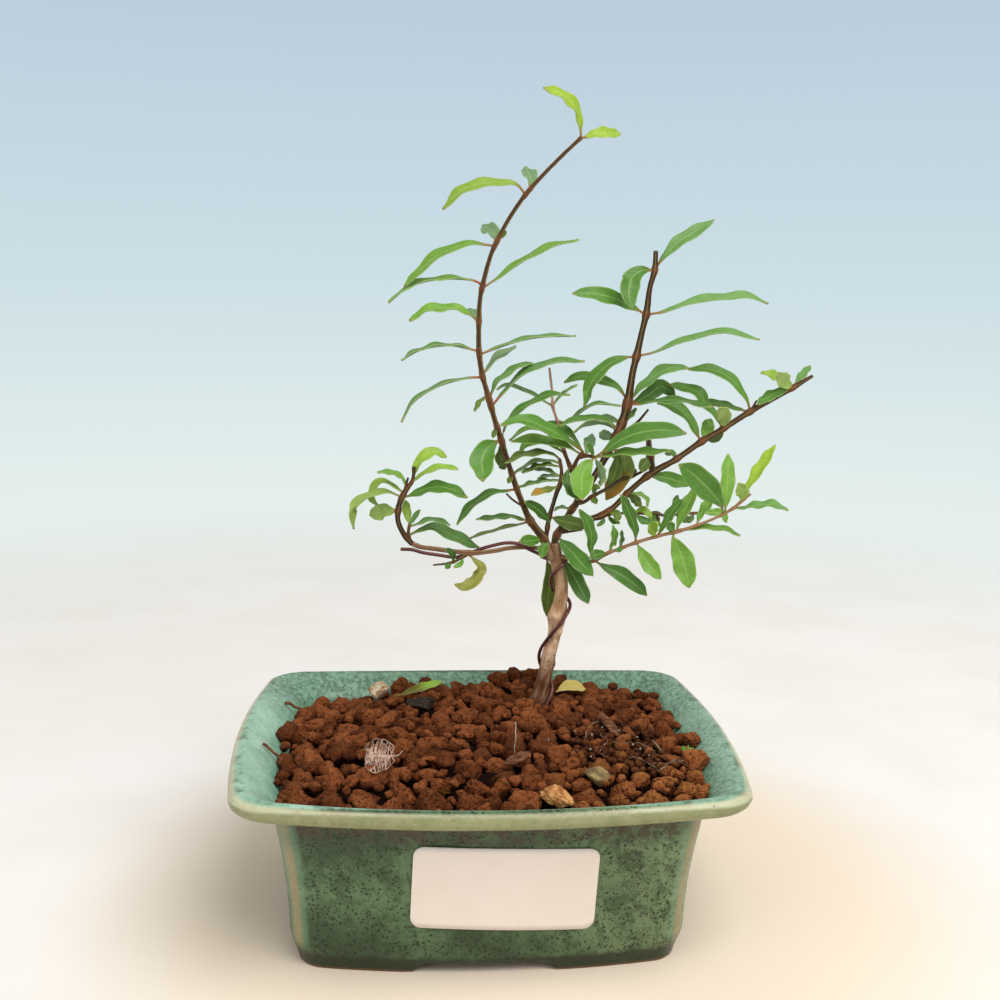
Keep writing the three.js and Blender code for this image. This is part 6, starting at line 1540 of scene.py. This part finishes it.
# each root: its radius and its line, whose last number is the height over the soil
ROOTS = [
    (0.2, [(41, -22, 0.8), (43.5, -25.8, 2.4), (46.5, -30, 2.6), (49.8, -32.7, 1.2)]),
    (0.14, [(38, -12, 1.4), (42, -15, 2.6), (47, -13, 2.0), (51, -15, 0.8)]),
    (0.13, [(33, -20, 1.2), (36, -15, 2.6), (35, -9, 2.4), (37, -3, 1.0)]),
    (0.16, [(30, -10, 1.2), (32, -5, 2.8), (35, 0, 3.0), (38, 4, 1.4)]),
    (0.2, [(49.0, -31.0, 1.6), (53, -27, 3.0), (57, -24, 2.6), (60.5, -21, 1.6)]),
    (0.3, [(50.4, -12.6, 3.2), (51.2, -15.0, 3.0), (52.4, -17.6, 2.2)]),
    (0.2, [(50, -27, 1.8), (54, -28, 3.2), (58, -24.5, 2.8), (60, -25, 1.8)]),
    (0.2, [(47, -26, 1.2), (51, -29, 2.9), (55, -25, 2.9), (59, -28, 1.8)]),
]
roots = Bundle()
for radius, path in ROOTS:
    roots.add(*thin_strand([(x, y, soil_height(x, y) + up) for x, y, up in path], radius, 0.5, 0.5))
root_skin = mineral("fine_dry_roots", "57412f", "9c8568", "38281d", 0.8, 1.0, 0.05)
roots.piece("fine_roots", [root_skin], "dead_wood")

shred_skin = mineral("pale_shreds", "8e8478", "c9c2b4", "6f6557", 0.7, 1.0, 0.05)
shreds = Bundle()
hair = [(9.8, -4.0, 2.2), (8.9, -8.8, 5.4), (8.6, -15.0, 4.2), (7.4, -23.4, 2.0)]
shreds.add(*thin_strand([(x, y, soil_height(x, y) + up) for x, y, up in hair], 0.15, 0.6, 0.3))
for _ in range(26):
    x, y = PEAT[0] + chance.normal() * 8, PEAT[1] + chance.normal() * 10
    points, faces, _ = small_lumps[int(chance.integers(10))]
    size = chance.uniform(0.15, 0.36)
    shreds.add(points * size + (x, y, soil_height(x, y) + chance.uniform(1.0, 2.2)), faces)
shreds.piece("hair_and_perlite", [shred_skin], "pale_stone")

# %% [markdown]
# Three leaves have dropped on the soil: a green one, a broad pale one and an old one of which only the net of veins
# is left. The first two are blades as on the plant. The last is built as what it is, a crumpled net: rib, side
# veins and the mesh between them are thin strands that all lie in one creased sheet.

# %% Fallen leaves
def lying_face(centre, tangent, lean=0.45):
    """A fallen blade faces up and leans a little forward."""
    up = np.array((0, -lean, 1.0))
    return unit(up - tangent * up.dot(tangent))


# each leaf: its node, its slot, its width, its curl, the colours of its tip and of its root, and its line
FALLEN = [
    ("fallen_leaf_green", "green_fallen_leaf", 3.8, 0.5, "lime", "dropped",
     [(-27.3, 32.0, 53.4), (-22.6, 34.8, 54.0), (-17.0, 38.6, 54.6), (-11.7, 42.3, 54.9)]),
    ("fallen_leaf_yellow", "yellow_fallen_leaf", 5.6, 0.15, "fallow", "fallow",
     [(26.1, 31.0, 54.9), (29.6, 32.8, 55.9), (33.2, 34.4, 55.6), (36.6, 35.2, 54.3)]),
]
for node_name, slot, width, curl, word, root_word, path in FALLEN:
    dropped = Bundle()
    tip_colour, root_colour = shade(LEAF_WORDS[word]), shade(LEAF_WORDS[root_word])
    add_blade(dropped, smooth_line(path, 21), width, lying_face, tip_colour, 0.2, 0, curl, root_colour)
    dropped.piece(node_name + "_blade", [leaf_skin], slot, node_name)

net_leaf = Bundle()
SPINE = smooth_line([(-35.8, -23.4, 54.0), (-33.2, -23.9, 54.6), (-30.0, -24.2, 54.8), (-26.9, -24.0, 54.6)], 40)
LEAF_OUT, LEAF_DOWN, LEAF_UP = np.array((0, 0.8, 0.6)), np.array((0, 0.9, 0.42)), np.array((0, -0.6, 0.8))


def on_sheet(along, across):
    """A place on the crumpled sheet: along the rib from 0 to 1, across it from -1 to 1."""
    half = 4.9 * math.sin(math.pi * min(1, 0.13 + along * 0.8)) ** 0.5
    if across < 0:
        half = 7.6 * max(0.1, 1 - ((along - 0.42) / 0.64) ** 2)
    crease = 1.1 * noise.noise(Vector((along * 4.2, across * 1.9, 2.0)))
    crease += 0.6 * noise.noise(Vector((along * 9, across * 5, 7)))
    out = LEAF_OUT if across > 0 else LEAF_DOWN
    return SPINE[int(round(along * 39))] + out * across * half + LEAF_UP * (abs(across) * (crease + 0.24 * half))


def vein(spots, radius, count=14):
    """A thin strand through places on the sheet."""
    return tube(smooth_line([(*on_sheet(*spot), radius) for spot in spots], count, 8), 5)[:2]


net_leaf.add(*vein([(s, 0) for s in np.linspace(0, 1, 9)], 0.26, 30))
net_leaf.add(*thin_strand([SPINE[-1], SPINE[-1] + (1.2, 0.2, 0.5), SPINE[-1] + (1.9, 0.4, 1.4)], 0.24, 0.7, 0.1))
for start in np.linspace(0.04, 0.86, 9):
    for side in (-1, 1):
        lean = chance.uniform(0.02, 0.16)
        net_leaf.add(*vein([(start + lean * u, side * u) for u in np.linspace(0, 1, 6)], 0.15))
for _ in range(150):
    along, across = chance.uniform(0.02, 0.9), chance.uniform(-0.95, 0.95)
    bend = chance.uniform(-0.09, 0.09)
    far = min(0.98, max(0.0, along + chance.uniform(-0.14, 0.14)))
    reach = float(np.clip(across + chance.uniform(-0.5, 0.5), -1, 1))
    middle = ((along + far) / 2 + bend * 0.4, (across + reach) / 2 + bend)
    net_leaf.add(*vein([(along, across), (min(0.99, max(0, middle[0])), middle[1]), (far, reach)], 0.1, 7))
for side in (-1, 1):
    net_leaf.add(*vein([(s, side) for s in np.linspace(0.02, 0.98, 9)], 0.14, 26))
vein_skin = mineral("dry_leaf_veins", "8a6a5a", "cdb1a0", "5a4338", 0.75, 0.9, 0.05)
net_leaf.piece("vein_net_leaf", [vein_skin], "skeleton_leaf", "skeleton_leaf")

# %% [markdown]
# A tuft of moss grows between two granules at the right wall. It is a few dozen short soft shoots that lean out of
# one spot. A green lump would look like a pebble, so every shoot is a thin tube that swells and ends in a point.

# %% A tuft of moss
moss_skin = Finish("fresh_moss")
shoots = moss_skin.noise(0.8, 3)
colour = moss_skin.blend(shoots.step(0.35, 0.65), "3f7a26", "86b84a")
moss_skin.surface(colour, 0.7, shoots, 0.1)
MOSS_AT = (60.8, -13.6)
moss = Bundle()
for _ in range(34):
    angle, reach, tall = chance.uniform(0, 6.28), chance.uniform(0.3, 1.7), chance.uniform(1.2, 3.2)
    way = np.array((math.cos(angle), math.sin(angle), 0))
    foot, out = np.array((*MOSS_AT, soil_height(*MOSS_AT) + 0.3)) + way * 0.5, way * reach
    path = [foot, foot + out * 0.4 + (0, 0, tall * 0.7), foot + out + (0, 0, tall)]
    moss.add(*tube(smooth_line([(*p, r) for p, r in zip(path, (0.16, 0.26, 0.1))], 8, 6), 5)[:2])
moss.piece("moss_tuft", [moss_skin], "moss", "moss_sprig")

# %% [markdown]
# The pot stands on a plain pale floor in soft, even light, as for a shop picture. A large pale disc makes the
# floor, and a gradient from cream to a very light blue stands for the room round it. Light from the gradient would
# tint the leaves, so it only shows, and an even white lights the things. One wide lamp above and in front models the
# forms, and a weaker one from the left lifts the shadows.

# %% Floor and room
floor_skin = Finish("pale_studio_floor")
blur = floor_skin.noise(60, 2)
away = floor_skin.node("ShaderNodeVectorMath", {"operation": "LENGTH"}, {0: floor_skin.place()}, output="Value")
ground = floor_skin.blend(blur.step(0.3, 0.7), "ebe9e5", "efeeec")
# a warm tan near the pot: partly the colour of the stand it stood on, partly painted light bounced off the pot
colour = floor_skin.coats(ground, (away.step(0.17, 0.09) * 0.8, "eedcc4"))
floor_skin.surface(colour, 0.8, Alpha=away.step(0.75, 0.3), **{"Specular IOR Level": 0.1})
floor_shape = bmesh.new()
bmesh.ops.create_circle(floor_shape, cap_ends=True, segments=128, radius=3.0)
floor = put("studio_floor", mesh_from(floor_shape, "studio_floor"))
floor.data.materials.append(floor_skin.material)
floor.location = (0, 0, pot_low.z - 0.0002)

ROOM_TONES = [(0.0, "f0f6f1"), (0.28, "e3eeec"), (0.55, "cde0e6"), (1.0, "b8cadc")]
bpy.context.scene.world = bpy.data.worlds.new("pale_room")
room = Finish("pale_room", bpy.context.scene.world)
way_up = room.node("ShaderNodeTexCoord", output="Generated")
way_up = room.node("ShaderNodeSeparateXYZ", {}, {0: way_up}, output="Z")
rise = room.node("ShaderNodeMapRange", {}, {0: way_up, "From Min": -0.30, "From Max": 0.24})
tones = room.node("ShaderNodeValToRGB", {"stops": [(at, shade(code)) for at, code in ROOM_TONES]}, {0: rise})
shown = room.node("ShaderNodeBackground", {}, {0: tones})
even = room.node("ShaderNodeBackground", {}, {"Color": (1.0, 0.985, 0.96, 1), "Strength": 0.60})
straight = room.node("ShaderNodeLightPath", output="Is Camera Ray")
choice = room.node("ShaderNodeMixShader", {}, {0: straight, 1: even, 2: shown})
room.node("ShaderNodeOutputWorld", {}, {0: choice}, output=None)

# %% [markdown]
# Small lamps would cast a hard shadow of every leaf. Round area lamps several times as wide as the plant is tall
# give the soft shadows of a room with large windows.

# %% Soft lamps
def soft_lamp(name, at, aim, size, power, tone):
    """A round lamp at a place, aimed at another."""
    data = bpy.data.lights.new(name, "AREA")
    data.shape, data.size, data.energy, data.color = "DISK", size, power, tone
    lamp = put(name, data)
    lamp.location = at
    lamp.rotation_euler = (Vector(aim) - Vector(at)).to_track_quat("-Z", "Y").to_euler()


soft_lamp("wide_lamp_above", (0.36, -0.5, 1.0), (0, 0, 0.1), 1.0, 10.8, (1.0, 0.975, 0.94))
soft_lamp("fill_lamp_left", (-0.9, -0.6, 0.45), (0, 0, 0.12), 0.8, 2.2, (0.96, 0.98, 1.0))

# %% [markdown]
# The camera stands a little left of the middle, above the pot's rim, and looks slightly down. Its place and tilt
# are worked out once from the known size of the pot, and its lens fits the frame.

# %% Camera
YAW, PITCH, ROLL = (math.radians(angle) for angle in (4.32, 9.92, 1.13))
FRAME_WIDTH, FRAME_WIDTHS_AWAY = 36, 1.237
ahead = Vector((math.sin(YAW) * math.cos(PITCH), math.cos(YAW) * math.cos(PITCH), -math.sin(PITCH)))
level = Vector((math.cos(YAW), -math.sin(YAW), 0))
over = level.cross(ahead)
right = math.cos(ROLL) * level + math.sin(ROLL) * over
up = -math.sin(ROLL) * level + math.cos(ROLL) * over
lens = bpy.data.cameras.new("front_camera")
lens.sensor_width, lens.sensor_fit, lens.lens = FRAME_WIDTH, "HORIZONTAL", FRAME_WIDTH * FRAME_WIDTHS_AWAY
lens.clip_start, lens.clip_end = 0.01, 20
camera = put("front_camera", lens)
turn = ((right.x, up.x, -ahead.x), (right.y, up.y, -ahead.y), (right.z, up.z, -ahead.z))
camera.matrix_world = Matrix(turn).to_4x4()
camera.location = SIGHT * MM + POT_MIDDLE
bpy.context.scene.camera = camera
bpy.context.scene.view_settings.view_transform = "Standard"
